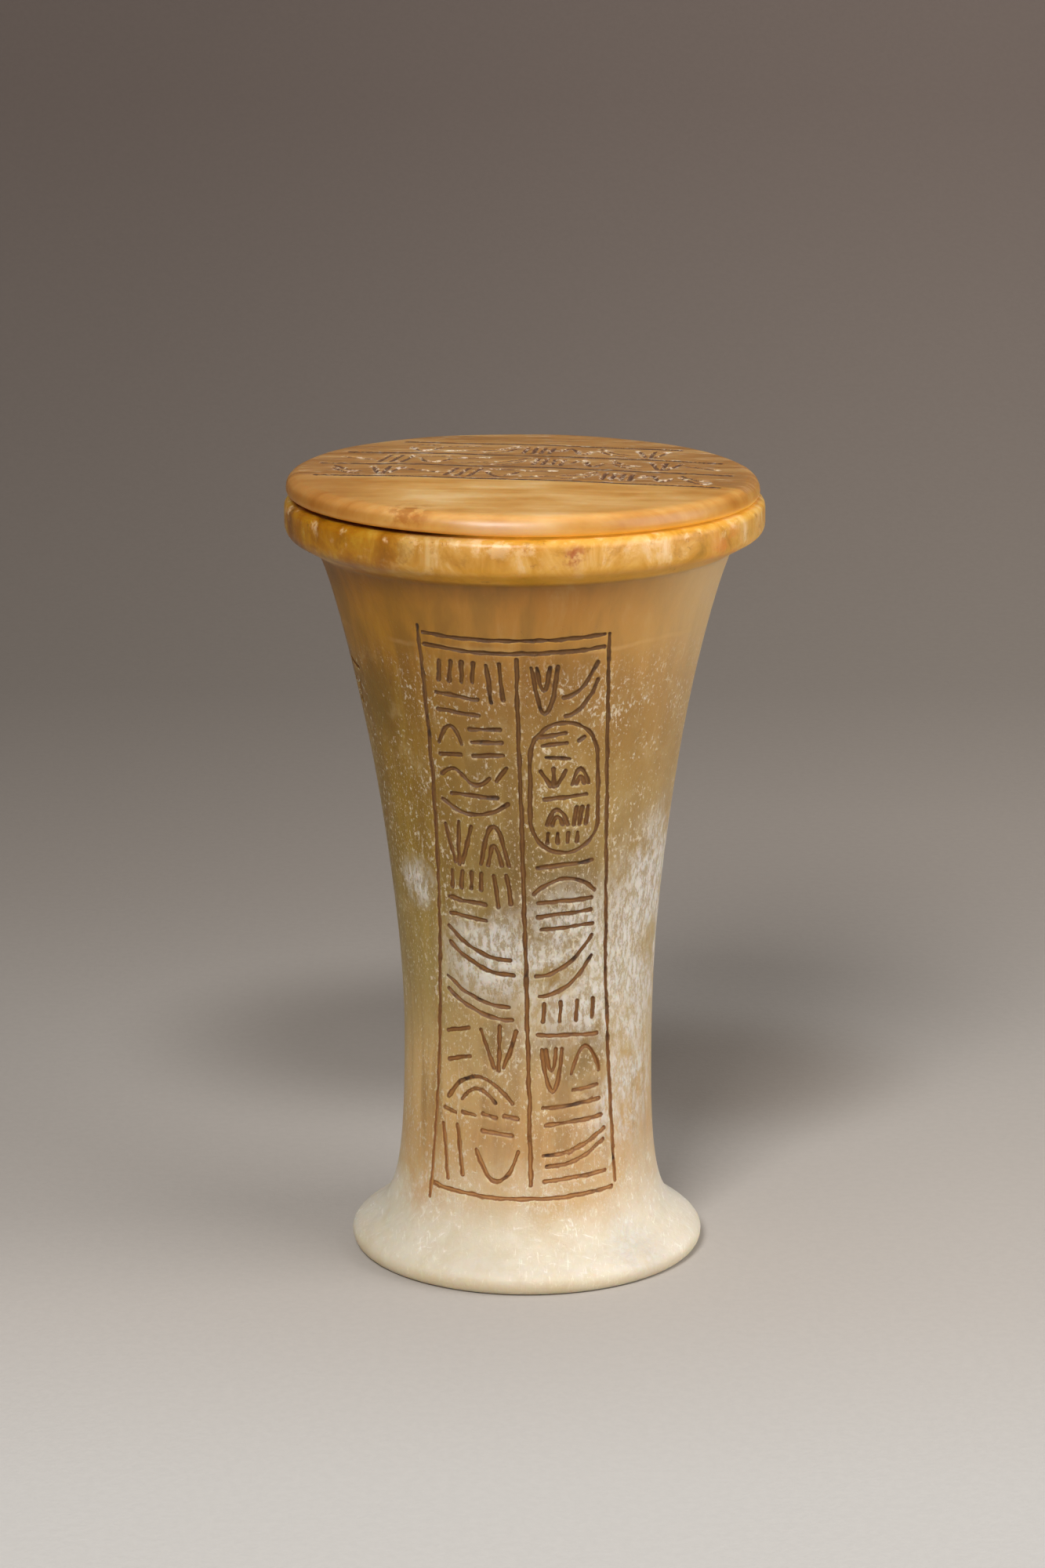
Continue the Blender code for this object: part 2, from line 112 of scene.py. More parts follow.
def drawn_line(name, points):
    """A new mesh object that is one open line, extruded point by point from a single vertex."""
    pick()
    bpy.ops.mesh.primitive_plane_add(size=0.001)
    piece = bpy.context.object
    piece.name = piece.data.name = name
    work_in("EDIT")
    bpy.ops.mesh.select_mode(type="VERT")
    take_all()
    bpy.ops.mesh.merge(type="CENTER")
    bpy.ops.transform.translate(value=points[0])
    for before, after in zip(points, points[1:]):
        step = [b - a for a, b in zip(before, after)]
        bpy.ops.mesh.extrude_vertices_move(TRANSFORM_OT_translate={"value": step})
    return piece


class Value:
    """A number, colour or vector that varies over the surface. Arithmetic adds Math nodes."""

    def __init__(self, stone, socket):
        self.stone = stone
        self.socket = socket

    def math(self, operation, *others):
        values = {i: value for i, value in enumerate((self, *others))}
        return self.stone.node("ShaderNodeMath", {"operation": operation}, values)

    def __add__(self, other):
        return self.math("ADD", other)

    def __sub__(self, other):
        return self.math("SUBTRACT", other)

    def __mul__(self, other):
        return self.math("MULTIPLY", other)

    def __rsub__(self, other):
        return (self * -1.0) + other

    __radd__ = __add__
    __rmul__ = __mul__

    def within(self, low, high):
        """Zero below low, one above high and a smooth step between; high may be the lower."""
        span = {"Value": self, "From Min": low, "From Max": high}
        return self.stone.node("ShaderNodeMapRange", {"interpolation_type": "SMOOTHSTEP"}, span)


class Stone:
    """One material's node tree, with its Principled shader and the colour laid down so far."""

    def __init__(self, name):
        self.material = bpy.data.materials.new(name)
        self.material.use_nodes = True
        self.tree = self.material.node_tree
        self.shader = self.tree.nodes["Principled BSDF"]
        self.place = self.node("ShaderNodeTexCoord", output="Object")
        along_axes = self.node("ShaderNodeSeparateXYZ", None, {0: self.place}).socket.node.outputs
        self.x, self.y, self.z = (Value(self, socket) for socket in along_axes)
        self.colour = None

    def node(self, kind, settings=None, sockets=None, output=0):
        """Add a node: its settings first, a ramp's stops among them, then its sockets."""
        node = self.tree.nodes.new(kind)
        for key, setting in (settings or {}).items():
            if key == "stops":
                self.set_stops(node.color_ramp, setting)
            else:
                setattr(node, key, setting)
        self.feed(node, sockets or {})
        return Value(self, node.outputs[output])

    def feed(self, node, sockets):
        """Link values to a node's sockets, or set the sockets' own numbers and colours."""
        for key, value in sockets.items():
            if isinstance(value, Value):
                self.tree.links.new(value.socket, node.inputs[key])
            else:
                node.inputs[key].default_value = value

    def set_stops(self, ramp, stops):
        while len(ramp.elements) < len(stops):
            ramp.elements.new(0.5)
        for element, (position, colour) in zip(ramp.elements, stops):
            element.position = position
            element.color = linear(colour)

    def ramp(self, value, stops):
        """A colour that follows a value from stop to stop."""
        return self.node("ShaderNodeValToRGB", {"stops": stops}, {"Fac": value})

    def mix(self, share, under, over, blend="MIX"):
        """One colour over another by a share; the colours may be screen values."""
        under, over = (linear(c) if isinstance(c, tuple) else c for c in (under, over))
        settings = {"data_type": "RGBA", "blend_type": blend, "clamp_factor": True}
        return self.node("ShaderNodeMix", settings, {0: share, 6: under, 7: over}, 2)

    def lay(self, share, over, blend="MIX"):
        """Lay a colour over what the stone has so far."""
        self.colour = self.mix(share, self.colour, over, blend)

    def clouds(self, scale, detail=3.0, roughness=0.55, distortion=0.0, vector=None):
        """Soft noise from 0 to 1 about a half, its grain given in cells to the metre."""
        sockets = {"Vector": vector or self.place, "Scale": scale, "Detail": detail,
                   "Roughness": roughness, "Distortion": distortion}
        return self.node("ShaderNodeTexNoise", None, sockets)

    def drawn_out(self, scale, detail=3.0, roughness=0.55, distortion=0.0, turn=(0.0, 0.0, 0.0)):
        """Soft noise, turned, with its own grain along each axis in cells to the metre."""
        sockets = {"Vector": self.place, "Rotation": turn, "Scale": scale}
        vector = self.node("ShaderNodeMapping", {"vector_type": "POINT"}, sockets)
        return self.clouds(1.0, detail, roughness, distortion, vector)

    def carved(self):
        """The distance from a stroke that the mesh keeps at each vertex, in half widths."""
        return self.node("ShaderNodeAttribute", {"attribute_name": "carved"}, output="Fac")

    def patch(self, centre, radius):
        """One inside a round patch in space, fading to zero at its edge."""
        ends = {0: self.place, 1: centre}
        away = self.node("ShaderNodeVectorMath", {"operation": "DISTANCE"}, ends, "Value")
        return away.within(radius, radius * 0.25)

    def bumped(self, height, distance):
        return self.node("ShaderNodeBump", None, {"Height": height, "Distance": distance})

    def finish(self, roughness, normal):
        surface = {"Base Color": self.colour, "Roughness": roughness, "Normal": normal}
        self.feed(self.shader, surface)
        return self.material


def sweep_line():
    """The card from the side: flat floor, a long bend and a flat wall."""
    points = [(0.0, SWEEP_FRONT, 0.0), (0.0, SWEEP_BEND, 0.0)]
    for step in range(1, SWEEP_BEND_STEPS + 1):
        angle = pi / 2 * step / SWEEP_BEND_STEPS
        points.append((0.0, SWEEP_BEND + SWEEP_BEND_RADIUS * sin(angle),
                       SWEEP_BEND_RADIUS * (1 - cos(angle))))
    points.append((0.0, SWEEP_BEND + SWEEP_BEND_RADIUS, SWEEP_TOP))
    return [(x - SWEEP_HALF_WIDTH, y, z) for x, y, z in points]


sweep = drawn_line("backdrop", sweep_line())
take_all()
bpy.ops.mesh.extrude_edges_move(TRANSFORM_OT_translate={"value": (2 * SWEEP_HALF_WIDTH, 0, 0)})
take_all()
bpy.ops.mesh.normals_make_consistent(inside=False)


def grey_card():
    """Warm grey card, darker with its distance and to its left by painted shade, with a few painted soft
    shadows and a faint mottle.
    """
    card = Stone("grey_card")
    depth = (card.y + card.z * CARD_RISE_SHARE - CARD_START) * (1 / CARD_REACH)
    stops = [((place - CARD_START) / CARD_REACH, grey) for place, grey in CARD_GREYS_AND_PAINTED_FALLOFF]
    card.colour = card.ramp(depth, stops)
    card_left_painted_shade = card.x.within(CARD_SIDE, -CARD_SIDE) * depth.within(0.05, 0.35)
    card.lay(card_left_painted_shade, CARD_LEFT_PAINTED_SHADE, "MULTIPLY")
    for centre, radius, shade in CARD_SHADOWS:
        card.lay(card.patch(centre, radius), shade, "MULTIPLY")
    mottle = card.clouds(CARD_MOTTLE_GRAIN, 4.0, 0.7).within(0.35, 0.65)
    card.lay(mottle * 0.5, CARD_MOTTLE_SHADE, "MULTIPLY")
    card.feed(card.shader, {"Specular IOR Level": CARD_SPECULAR})
    tooth = card.bumped(card.clouds(CARD_TOOTH_GRAIN, 2.0), CARD_TOOTH_DEPTH)
    return card.finish(CARD_ROUGHNESS, tooth)


dress(sweep, grey_card())

for name, place, aim, size, power in LAMPS:
    bpy.ops.object.light_add(type="AREA", location=place)
    lamp = bpy.context.object
    lamp.name = name
    lamp.data.size = size
    lamp.data.energy = power
    lamp.data.color = LAMP_COLOUR
    lamp.rotation_euler = (Vector(aim) - Vector(place)).to_track_quat("-Z", "Y").to_euler()

scene = bpy.context.scene
scene.world = scene.world or bpy.data.worlds.new("studio")
scene.world.use_nodes = True
background = scene.world.node_tree.nodes["Background"]
background.inputs["Color"].default_value = WORLD_COLOUR
background.inputs["Strength"].default_value = WORLD_STRENGTH
scene.view_settings.view_transform = "Standard"

bpy.ops.object.camera_add(location=CAMERA_PLACE, rotation=(CAMERA_TILT, 0.0, 0.0))
camera = bpy.context.object
camera.name = "photo_camera"
camera.data.lens = CAMERA_LENS
camera.data.clip_start = CAMERA_CLIP_START
scene.camera = camera


# The jar: one block of honey-coloured calcite, turned outside on a flared foot, drilled out
# to an even wall and left with a projecting rim. A ruled panel of strokes is chiselled into
# its front, and a few worn marks into its left side.
FOOT_RADIUS = 0.0391
FOOT_EDGE_HEIGHT = 0.0042
FOOT_BASE_INSET = 0.0024
FOOT_WIDEST_HEIGHT = 0.003
FOOT_JOIN_HEIGHT = 0.0088
FOOT_LIP_LOW_HANDLE = (0.0009, 0.0012)
FOOT_LIP_HIGH_HANDLE = 0.0052
FOOT_JOIN_HANDLE_STEPS = 3.2
FOOT_SWEEP_IN = 0.0078
FOOT_SWEEP_UP = 0.0059
WAIST_RADIUS = 0.02744
WAIST_HEIGHT = 0.048
WAIST_HANDLE_DOWN = 0.041
WAIST_HANDLE_UP = 0.045
NECK_HANDLE = 0.0105
NECK_SLOPE = 0.5
NECK_FILLET = 0.002
RIM_RADIUS = 0.052
RIM_OVERHANG = 0.007
RIM_HEIGHT = 0.011
RIM_BAND_HEIGHT = 0.0071
RIM_LOWER_ROUNDING = 0.0032
RIM_UPPER_ROUNDING = 0.0018
JAR_HEIGHT = 0.1695
WAIST_WALL = 0.009
NECK_WALL = 0.007
FLOOR_THICKNESS = 0.012
FLOOR_ROUNDING = 0.005
MOUTH_ROUNDING = 0.001
NECK_RADIUS = RIM_RADIUS - RIM_OVERHANG
MOUTH_RADIUS = NECK_RADIUS - NECK_WALL
NECK_HEIGHT = JAR_HEIGHT - RIM_HEIGHT

TURNING_STEPS = 136
BODY_ROWS = 76
FOOT_ROWS = 30
BORE_ROWS = 16
ROUND_ROWS = 5
FOOT_LIP_LOW_ROWS = 6
FOOT_LIP_HIGH_ROWS = 8
RIM_TOP_ROWS = 7
LIP_ROWS = 6
FLOOR_EDGE_ROWS = 12
WALL_FOOT_STEPS = 400
WALL_BODY_STEPS = 600
WALL_TOLERANCE = 0.0008
MERGE_DISTANCE = 0.00001

HAND_SWELL = 0.00022
HAND_SWELL_GRAIN = 28.0
RIM_SKEW = 0.0005
RIM_SKEW_HEIGHT = 0.16
RIM_SKEW_SPREAD = 0.0028
RIM_SKEW_RADIUS = 0.043
CENTRE_DRIFT = 0.0004
DRIFT_SWINGS = 5.2
DRIFT_SWING_SHARE = 0.6

GROOVE_HALF_WIDTH = 0.00046
GROOVE_DEPTH = 0.00056
GROOVE_REACH = 0.0022
GROOVE_END = 1.15
GROOVE_RUN = 0.75
WIDTH_CHANGE = 0.5
WIDTH_GRAIN = 480.0
DEPTH_MIDDLE = 0.85
DEPTH_CHANGE = 0.35
DEPTH_GRAIN = 300.0
CARVED_LIMIT = 4.0
CARVING_FOOT_MARGIN = 0.001
CARVING_NECK_MARGIN = 0.004
REFINING_REACHES = (0.002, 0.0012, 0.0007)
WOBBLE = 0.00021
WOBBLE_GRAIN = 260.0
WOBBLE_SEED = 5
STROKE_PIECE = 0.0007

PANEL_LEFT = 0.0206
PANEL_RIGHT = 0.0181
PANEL_FLARE = 0.0032
PANEL_RIGHT_TOP_FLARE = 0.0004
PANEL_DROP = 0.0225
PANEL_BOTTOM = 0.0197
PANEL_LINE_PITCH = 0.0029
PANEL_LINE_SAG = 0.0008
PANEL_SIDE_OVERRUN = 0.003
DIVIDER_OFFSET = -0.0006
DIVIDER_LEAN = 0.0026
COLUMN_MARGIN = 0.0022
ROW_GAP = 0.0016
RING_WIDTH = 0.015
LINE_GAP = 0.0011
SIDE_MARK_ANGLE = radians(-74.0)
SIDE_MARK_DROP = 0.033
SIDE_MARK_HEIGHT = 0.011
SIDE_MARK_WIDTH = 0.006
PANEL_TOP = JAR_HEIGHT - PANEL_DROP


def bezier(start, start_handle, end_handle, end, steps):
    """Points of a cubic curve from start to end, both ends included."""
    points = []
    for step in range(steps + 1):
        t = step / steps
        u = 1.0 - t
        weights = (u * u * u, 3 * u * u * t, 3 * u * t * t, t * t * t)
        corners = (start, start_handle, end_handle, end)
        points.append(tuple(sum(w * c[i] for w, c in zip(weights, corners)) for i in (0, 1)))
    return points


def rounded(before, corner, after, radius):
    """Points of the arc that rounds a corner between two neighbours."""
    corner, before, after = Vector(corner), Vector(before), Vector(after)
    back = (before - corner).normalized()
    on = (after - corner).normalized()
    half_angle = back.angle(on) / 2
    run = radius / tan(half_angle)
    centre = corner + (back + on).normalized() * (radius / sin(half_angle))
    start = corner + back * run - centre
    end = corner + on * run - centre
    turn = start.angle_signed(end)
    points = []
    for step in range(ROUND_ROWS + 1):
        angle = -turn * step / ROUND_ROWS
        points.append((centre.x + start.x * cos(angle) - start.y * sin(angle),
                       centre.y + start.x * sin(angle) + start.y * cos(angle)))
    return points


def between(start, end, steps):
    """Points strictly between two, evenly spaced."""
    return [tuple(a + (b - a) * i / steps for a, b in zip(start, end)) for i in range(1, steps)]


def body_curve(waist_radius, neck_radius, steps):
    """The rise from the waist to the underside of the rim, the same inside and out."""
    return bezier((waist_radius, WAIST_HEIGHT), (waist_radius, WAIST_HEIGHT + WAIST_HANDLE_UP),
                  (neck_radius - NECK_HANDLE * NECK_SLOPE, NECK_HEIGHT - NECK_HANDLE),
                  (neck_radius, NECK_HEIGHT), steps)


def foot_curve(steps):
    """The sweep from the top of the foot's edge in to the waist."""
    return bezier((FOOT_RADIUS, FOOT_EDGE_HEIGHT),
                  (FOOT_RADIUS - FOOT_SWEEP_IN, FOOT_EDGE_HEIGHT + FOOT_SWEEP_UP),
                  (WAIST_RADIUS, WAIST_HEIGHT - WAIST_HANDLE_DOWN),
                  (WAIST_RADIUS, WAIST_HEIGHT), steps)


def foot_lip(sweep):
    """The foot's full round edge, from its resting line out and over into the sweep."""
    widest = (FOOT_RADIUS, FOOT_WIDEST_HEIGHT)
    handle_in, handle_up = FOOT_LIP_LOW_HANDLE
    low = bezier((FOOT_RADIUS - FOOT_BASE_INSET, 0.0), (FOOT_RADIUS - handle_in, 0.0),
                 (FOOT_RADIUS, handle_up), widest, FOOT_LIP_LOW_ROWS)
    join, beyond = sweep[0], sweep[1]
    join_handle = [a + FOOT_JOIN_HANDLE_STEPS * (a - b) for a, b in zip(join, beyond)]
    high = bezier(widest, (FOOT_RADIUS, FOOT_LIP_HIGH_HANDLE), join_handle, join, FOOT_LIP_HIGH_ROWS)
    return low + high[1:]


def jar_profile():
    """The whole section: foot, body, rim, mouth, bore and floor, as (radius, height)."""
    foot = [point for point in foot_curve(FOOT_ROWS) if point[1] > FOOT_JOIN_HEIGHT]
    body = body_curve(WAIST_RADIUS, NECK_RADIUS, BODY_ROWS)
    rim_low, rim_top = (RIM_RADIUS, JAR_HEIGHT - RIM_BAND_HEIGHT), (RIM_RADIUS, JAR_HEIGHT)
    lip = (MOUTH_RADIUS, JAR_HEIGHT)
    bore_radius = WAIST_RADIUS - WAIST_WALL
    bore = body_curve(bore_radius, MOUTH_RADIUS, BORE_ROWS)[::-1]
    floor_corner = (bore_radius, FLOOR_THICKNESS)
    profile = foot_lip(foot) + foot[1:] + body[1:-2]
    profile += rounded(body[-3], body[-1], rim_low, NECK_FILLET)
    profile += rounded(body[-1], rim_low, rim_top, RIM_LOWER_ROUNDING)
    profile += rounded(rim_low, rim_top, lip, RIM_UPPER_ROUNDING)
    profile += between(profile[-1], lip, RIM_TOP_ROWS)[:-1]
    profile += rounded(rim_top, lip, bore[0], MOUTH_ROUNDING)
    profile += between(profile[-1], bore[0], LIP_ROWS) + bore
    profile += between(bore[-1], floor_corner, FLOOR_EDGE_ROWS)[:-2]
    profile += rounded(bore[-1], floor_corner, (0.0, FLOOR_THICKNESS), FLOOR_ROUNDING)
    return profile


wall_curve = np.array(foot_curve(WALL_FOOT_STEPS)
                      + body_curve(WAIST_RADIUS, NECK_RADIUS, WALL_BODY_STEPS)[1:])


def wall_radius(height):
    """The turned body's outer radius at a height, or at many."""
    return np.interp(height, wall_curve[:, 1], wall_curve[:, 0])


def turned(name, profile):
    """A closed solid: a profile spun once round the upright axis, its open ends filled."""
    piece = drawn_line(name, [(radius, 0.0, height) for radius, height in profile])
    take_all()
    bpy.ops.mesh.spin(steps=TURNING_STEPS, angle=2 * pi, center=(0, 0, 0), axis=(0, 0, 1))
    take_all()
    bpy.ops.mesh.remove_doubles(threshold=MERGE_DISTANCE)
    bpy.ops.mesh.fill_holes(sides=0)
    take_all()
    bpy.ops.mesh.normals_make_consistent(inside=False)
    work_in("OBJECT")
    return piece


def corners_of(piece):
    """A piece's vertex places as an array."""
    places = np.empty(len(piece.data.vertices) * 3)
    piece.data.vertices.foreach_get("co", places)
    return places.reshape(-1, 3)


def cut_piece(piece, places, spread_out):
    """Move the vertices, and keep at each its distance from a stroke for the material."""
    piece.data.vertices.foreach_set("co", places.reshape(-1))
    piece.data.update()
    held = piece.data.attributes.new("carved", "FLOAT", "POINT")
    held.data.foreach_set("value", np.minimum(spread_out, CARVED_LIMIT))


def spread(count, start=0.0, end=1.0):
    """Evenly spaced places from start to end."""
    return [start + (end - start) * i / (count - 1) for i in range(count)]


def bow(low, rise, start=0.0, end=1.0):
    """An open arc over a span, with its middle raised, or sunk where rise is below zero."""
    return [(start + (end - start) * t, low + rise * 4 * t * (1 - t)) for t in spread(11)]


def wave(middle, swing, start=0.0, end=1.0):
    """One full swing of a lying S."""
    return [(start + (end - start) * t, middle + swing * sin(2 * pi * t))
            for t in spread(15)]


def swoop(top, low, start, end):
    """A stroke that falls steeply and runs out flat."""
    return [(start + (end - start) * t, low + (top - low) * (1 - t) ** 2) for t in spread(11)]


# Each mark is a few open strokes in a cell one wide and high. None is a letter or a figure.
MARKS = {
    "bar": [[(0.0, 0.65), (1.0, 0.35)]],
    "rising bar": [[(0.0, 0.3), (1.0, 0.7)]],
    "two bars": [[(0.0, 0.75), (0.95, 0.9)], [(0.05, 0.1), (1.0, 0.25)]],
    "three bars": [[(0.05 * i, y), (0.85 + 0.05 * i, y + 0.05)] for i, y in enumerate((0.9, 0.5, 0.1))],
    "bows": [bow(0.05, 0.9), bow(0.05, 0.45, 0.25, 0.75)],
    "cups": [bow(0.95, -0.9), bow(0.95, -0.45, 0.2, 0.7)],
    "bow and bar": [bow(0.4, 0.55), [(0.05, 0.05), (0.95, 0.1)]],
    "cup and bar": [bow(0.6, -0.55), [(0.15, 0.95), (0.85, 0.9)]],
    "ticks": [[(x, 0.1), (x + 0.03, 0.9)] for x in spread(4, 0.05, 0.92)],
    "ticks and bar": [[(x, 0.5), (x + 0.02, 1.0)] for x in spread(4, 0.08, 0.9)]
                     + [[(0.0, 0.15), (1.0, 0.05)]],
    "slants": [[(x, 0.0), (x + 0.22, 1.0)] for x in spread(3, 0.0, 0.78)],
    "tall slants": [[(0.1, 0.95), (0.3, 0.0)], [(0.7, 1.0), (0.9, 0.1)]],
    "fan": [[(0.36, 0.05), (0.0, 0.9)], [(0.5, 0.0), (0.52, 1.0)], [(0.64, 0.05), (1.0, 0.9)]],
    "wave": [wave(0.5, 0.4)],
    "wave and dash": [wave(0.45, 0.35, 0.0, 0.75), [(0.85, 0.35), (1.0, 0.95)]],
    "swoops": [swoop(1.0, 0.35, 0.0, 0.95), swoop(0.65, 0.0, 0.02, 1.0)],
    "rises": [swoop(1.0, 0.35, 1.0, 0.0), swoop(0.65, 0.0, 1.0, 0.05)],
    "dashes": [[(x, 0.6), (x + 0.17, 0.4)] for x in spread(4, 0.0, 0.83)],
    "dot": [[(0.3, 0.4), (0.7, 0.6)]],
}

# Rows of each column from the top: share of the height, then each mark with its start and end.
LEFT_ROWS = (
    (7, (("ticks and bar", 0.05, 0.62), ("tall slants", 0.72, 0.98))),
    (2, (("bar", 0.05, 0.62),)),
    (6, (("bow and bar", 0.02, 0.36), ("three bars", 0.48, 0.95))),
    (4, (("wave and dash", 0.02, 0.96),)),
    (4, (("cup and bar", 0.0, 0.96),)),
    (8, (("fan", 0.02, 0.42), ("bows", 0.55, 0.95))),
    (6, (("ticks and bar", 0.05, 0.6), ("tall slants", 0.7, 0.98))),
    (2, (("bar", 0.05, 0.6),)),
    (8, (("swoops", 0.03, 0.97),)),
    (7, (("swoops", 0.0, 0.94),)),
    (8, (("two bars", 0.02, 0.36), ("fan", 0.52, 0.98))),
    (5, (("bows", 0.04, 0.92),)),
    (2, (("dashes", 0.02, 0.98),)),
    (10, (("tall slants", 0.0, 0.34), ("cup and bar", 0.48, 0.98))),
)
RIGHT_ROWS_ABOVE_RING = ((9, (("cups", 0.05, 0.42), ("rises", 0.5, 0.98))),)
RING_ROWS = (
    (5, (("two bars", 0.02, 0.55), ("dot", 0.7, 1.0))),
    (3, (("bar", 0.12, 0.6),)),
    (6, (("fan", 0.0, 0.52), ("bows", 0.66, 1.0))),
    (3, (("rising bar", 0.08, 0.95),)),
    (6, (("bows", 0.12, 0.55), ("slants", 0.68, 1.0))),
    (4, (("ticks", 0.1, 0.8),)),
)
RIGHT_ROWS_BELOW_RING = (
    (2, (("rising bar", 0.05, 0.9),)),
    (5, (("bow and bar", 0.0, 0.95),)),
    (4, (("two bars", 0.05, 0.92),)),
    (11, (("rises", 0.0, 0.9),)),
    (7, (("ticks and bar", 0.0, 0.96),)),
    (9, (("cups", 0.05, 0.36), ("bow and bar", 0.5, 0.96))),
    (5, (("two bars", 0.05, 0.97),)),
    (6, (("dot", 0.3, 0.7), ("rises", 0.05, 0.97))),
    (2, (("rising bar", 0.05, 0.97),)),
)
RING_SHARE = 0.25
ABOVE_RING_SHARE = 0.113


def row_strokes(rows, left, right, top, bottom):
    """Marks of stacked rows, between a left and a right edge given at each height."""
    strokes = []
    room = (top - bottom) - ROW_GAP * (len(rows) - 1)
    unit = room / sum(share for share, marks in rows)
    row_top = top
    for share, marks in rows:
        height = share * unit
        row_bottom = row_top - height
        middle = (row_top + row_bottom) / 2
        start, width = left(middle), right(middle) - left(middle)
        for mark, mark_start, mark_end in marks:
            for stroke in MARKS[mark]:
                strokes.append([(start + width * (mark_start + (mark_end - mark_start) * x),
                                 row_bottom + height * y) for x, y in stroke])
        row_top = row_bottom - ROW_GAP
    return strokes


def panel_edge(width, top_flare, height):
    """Distance of a panel side from the front line, widest at the panel's ends."""
    along = 2 * (height - PANEL_BOTTOM) / (PANEL_TOP - PANEL_BOTTOM) - 1
    return width + (top_flare if along > 0 else PANEL_FLARE) * along * along


def panel_left(height):
    return -panel_edge(PANEL_LEFT, PANEL_FLARE, height)


def panel_right(height):
    return panel_edge(PANEL_RIGHT, PANEL_RIGHT_TOP_FLARE, height)


def divider(height):
    """The line between the two columns, which leans a little."""
    share = (height - PANEL_BOTTOM) / (PANEL_TOP - PANEL_BOTTOM)
    return DIVIDER_OFFSET + DIVIDER_LEAN * (0.5 - share)


def side_stroke(edge, top, bottom):
    """An upright line that follows an edge of the panel."""
    return [(edge(height), height) for height in spread(40, top, bottom)]


def cross_line(height):
    """A line across the panel that sags a little in the middle."""
    left, right = panel_left(height) + LINE_GAP, panel_right(height) - LINE_GAP
    return [(left + (right - left) * t, height - PANEL_LINE_SAG * 4 * t * (1 - t))
            for t in spread(24)]


def ring_stroke(left, right, top, bottom):
    """An upright oval ring with round ends, as a closed stroke."""
    radius, middle = (right - left) / 2, (left + right) / 2
    stroke = []
    for centre, start in ((top - radius, 0.0), (bottom + radius, pi)):
        for angle in spread(18, start, start + pi):
            stroke.append((middle + radius * cos(angle), centre + radius * sin(angle)))
    return stroke + stroke[:1]


def panel_frame():
    """The lines round the panel and between its columns."""
    clear = 2 * LINE_GAP
    return [cross_line(PANEL_TOP), cross_line(PANEL_TOP - PANEL_LINE_PITCH), cross_line(PANEL_BOTTOM),
            side_stroke(panel_left, PANEL_TOP + PANEL_LINE_PITCH / 2, PANEL_BOTTOM - PANEL_SIDE_OVERRUN),
            side_stroke(panel_right, PANEL_TOP, PANEL_BOTTOM + LINE_GAP),
            side_stroke(divider, PANEL_TOP - PANEL_LINE_PITCH - clear, PANEL_BOTTOM + clear)]


def panel_marks():
    """The rows of marks in both columns, and the ring in the right one."""
    top = PANEL_TOP - PANEL_LINE_PITCH - COLUMN_MARGIN - LINE_GAP
    bottom = PANEL_BOTTOM + COLUMN_MARGIN

    def column_left(height):
        return divider(height) + COLUMN_MARGIN

    def column_right(height):
        return panel_right(height) - COLUMN_MARGIN

    strokes = row_strokes(LEFT_ROWS, lambda height: panel_left(height) + COLUMN_MARGIN,
                          lambda height: divider(height) - COLUMN_MARGIN, top, bottom)
    ring_top = top - ABOVE_RING_SHARE * (top - bottom)
    ring_bottom = ring_top - RING_SHARE * (top - bottom)
    ring_middle = (column_left(ring_top) + column_right(ring_top)) / 2
    ring_left, ring_right = ring_middle - RING_WIDTH / 2, ring_middle + RING_WIDTH / 2
    strokes += row_strokes(RIGHT_ROWS_ABOVE_RING, column_left, column_right, top, ring_top + ROW_GAP)
    strokes.append(ring_stroke(ring_left, ring_right, ring_top, ring_bottom))
    strokes += row_strokes(RING_ROWS, lambda height: ring_left + COLUMN_MARGIN,
                           lambda height: ring_right - COLUMN_MARGIN,
                           ring_top - COLUMN_MARGIN, ring_bottom + COLUMN_MARGIN)
    strokes += row_strokes(RIGHT_ROWS_BELOW_RING, column_left, column_right,
                           ring_bottom - ROW_GAP, bottom)
    return strokes


def side_marks():
    """A short worn group of marks on the jar's left side."""
    top = JAR_HEIGHT - SIDE_MARK_DROP
    middle = SIDE_MARK_ANGLE * float(wall_radius(top))
    rows = ((3, (("bar", 0.0, 1.0),)), (5, (("ticks", 0.0, 0.9),)))
    return row_strokes(rows, lambda height: middle - SIDE_MARK_WIDTH / 2,
                       lambda height: middle + SIDE_MARK_WIDTH / 2, top, top - SIDE_MARK_HEIGHT)


def chiselled(stroke):
    """A stroke in short pieces, each point wandering a little as the chisel did."""
    points = [Vector(stroke[0])]
    for start, end in zip(stroke, stroke[1:]):
        parts = max(1, round(dist(start, end) / STROKE_PIECE))
        points += [Vector(start).lerp(Vector(end), i / parts) for i in range(1, parts + 1)]
    wandered = []
    for point in points:
        at = Vector((point.x * WOBBLE_GRAIN, point.y * WOBBLE_GRAIN, 0.0))
        wander = noise.noise_vector(at)
        wandered.append((point.x + wander.x * WOBBLE, point.y + wander.y * WOBBLE))
    return np.array(wandered)


def stroke_distance(places, strokes):
    """How far each flat place is from the nearest stroke, up to the reach."""
    distance = np.full(len(places), GROOVE_REACH)
    for stroke in strokes:
        low, high = stroke.min(0) - GROOVE_REACH, stroke.max(0) + GROOVE_REACH
        near = np.flatnonzero(((places > low) & (places < high)).all(1))
        close = places[near]
        best = distance[near]
        for start, end in zip(stroke, stroke[1:]):
            along = end - start
            share = np.clip(((close - start) @ along) / max(along @ along, 1e-14), 0, 1)
            best = np.minimum(best, np.linalg.norm(close - start - share[:, None] * along, axis=1))
        distance[near] = best
    return distance


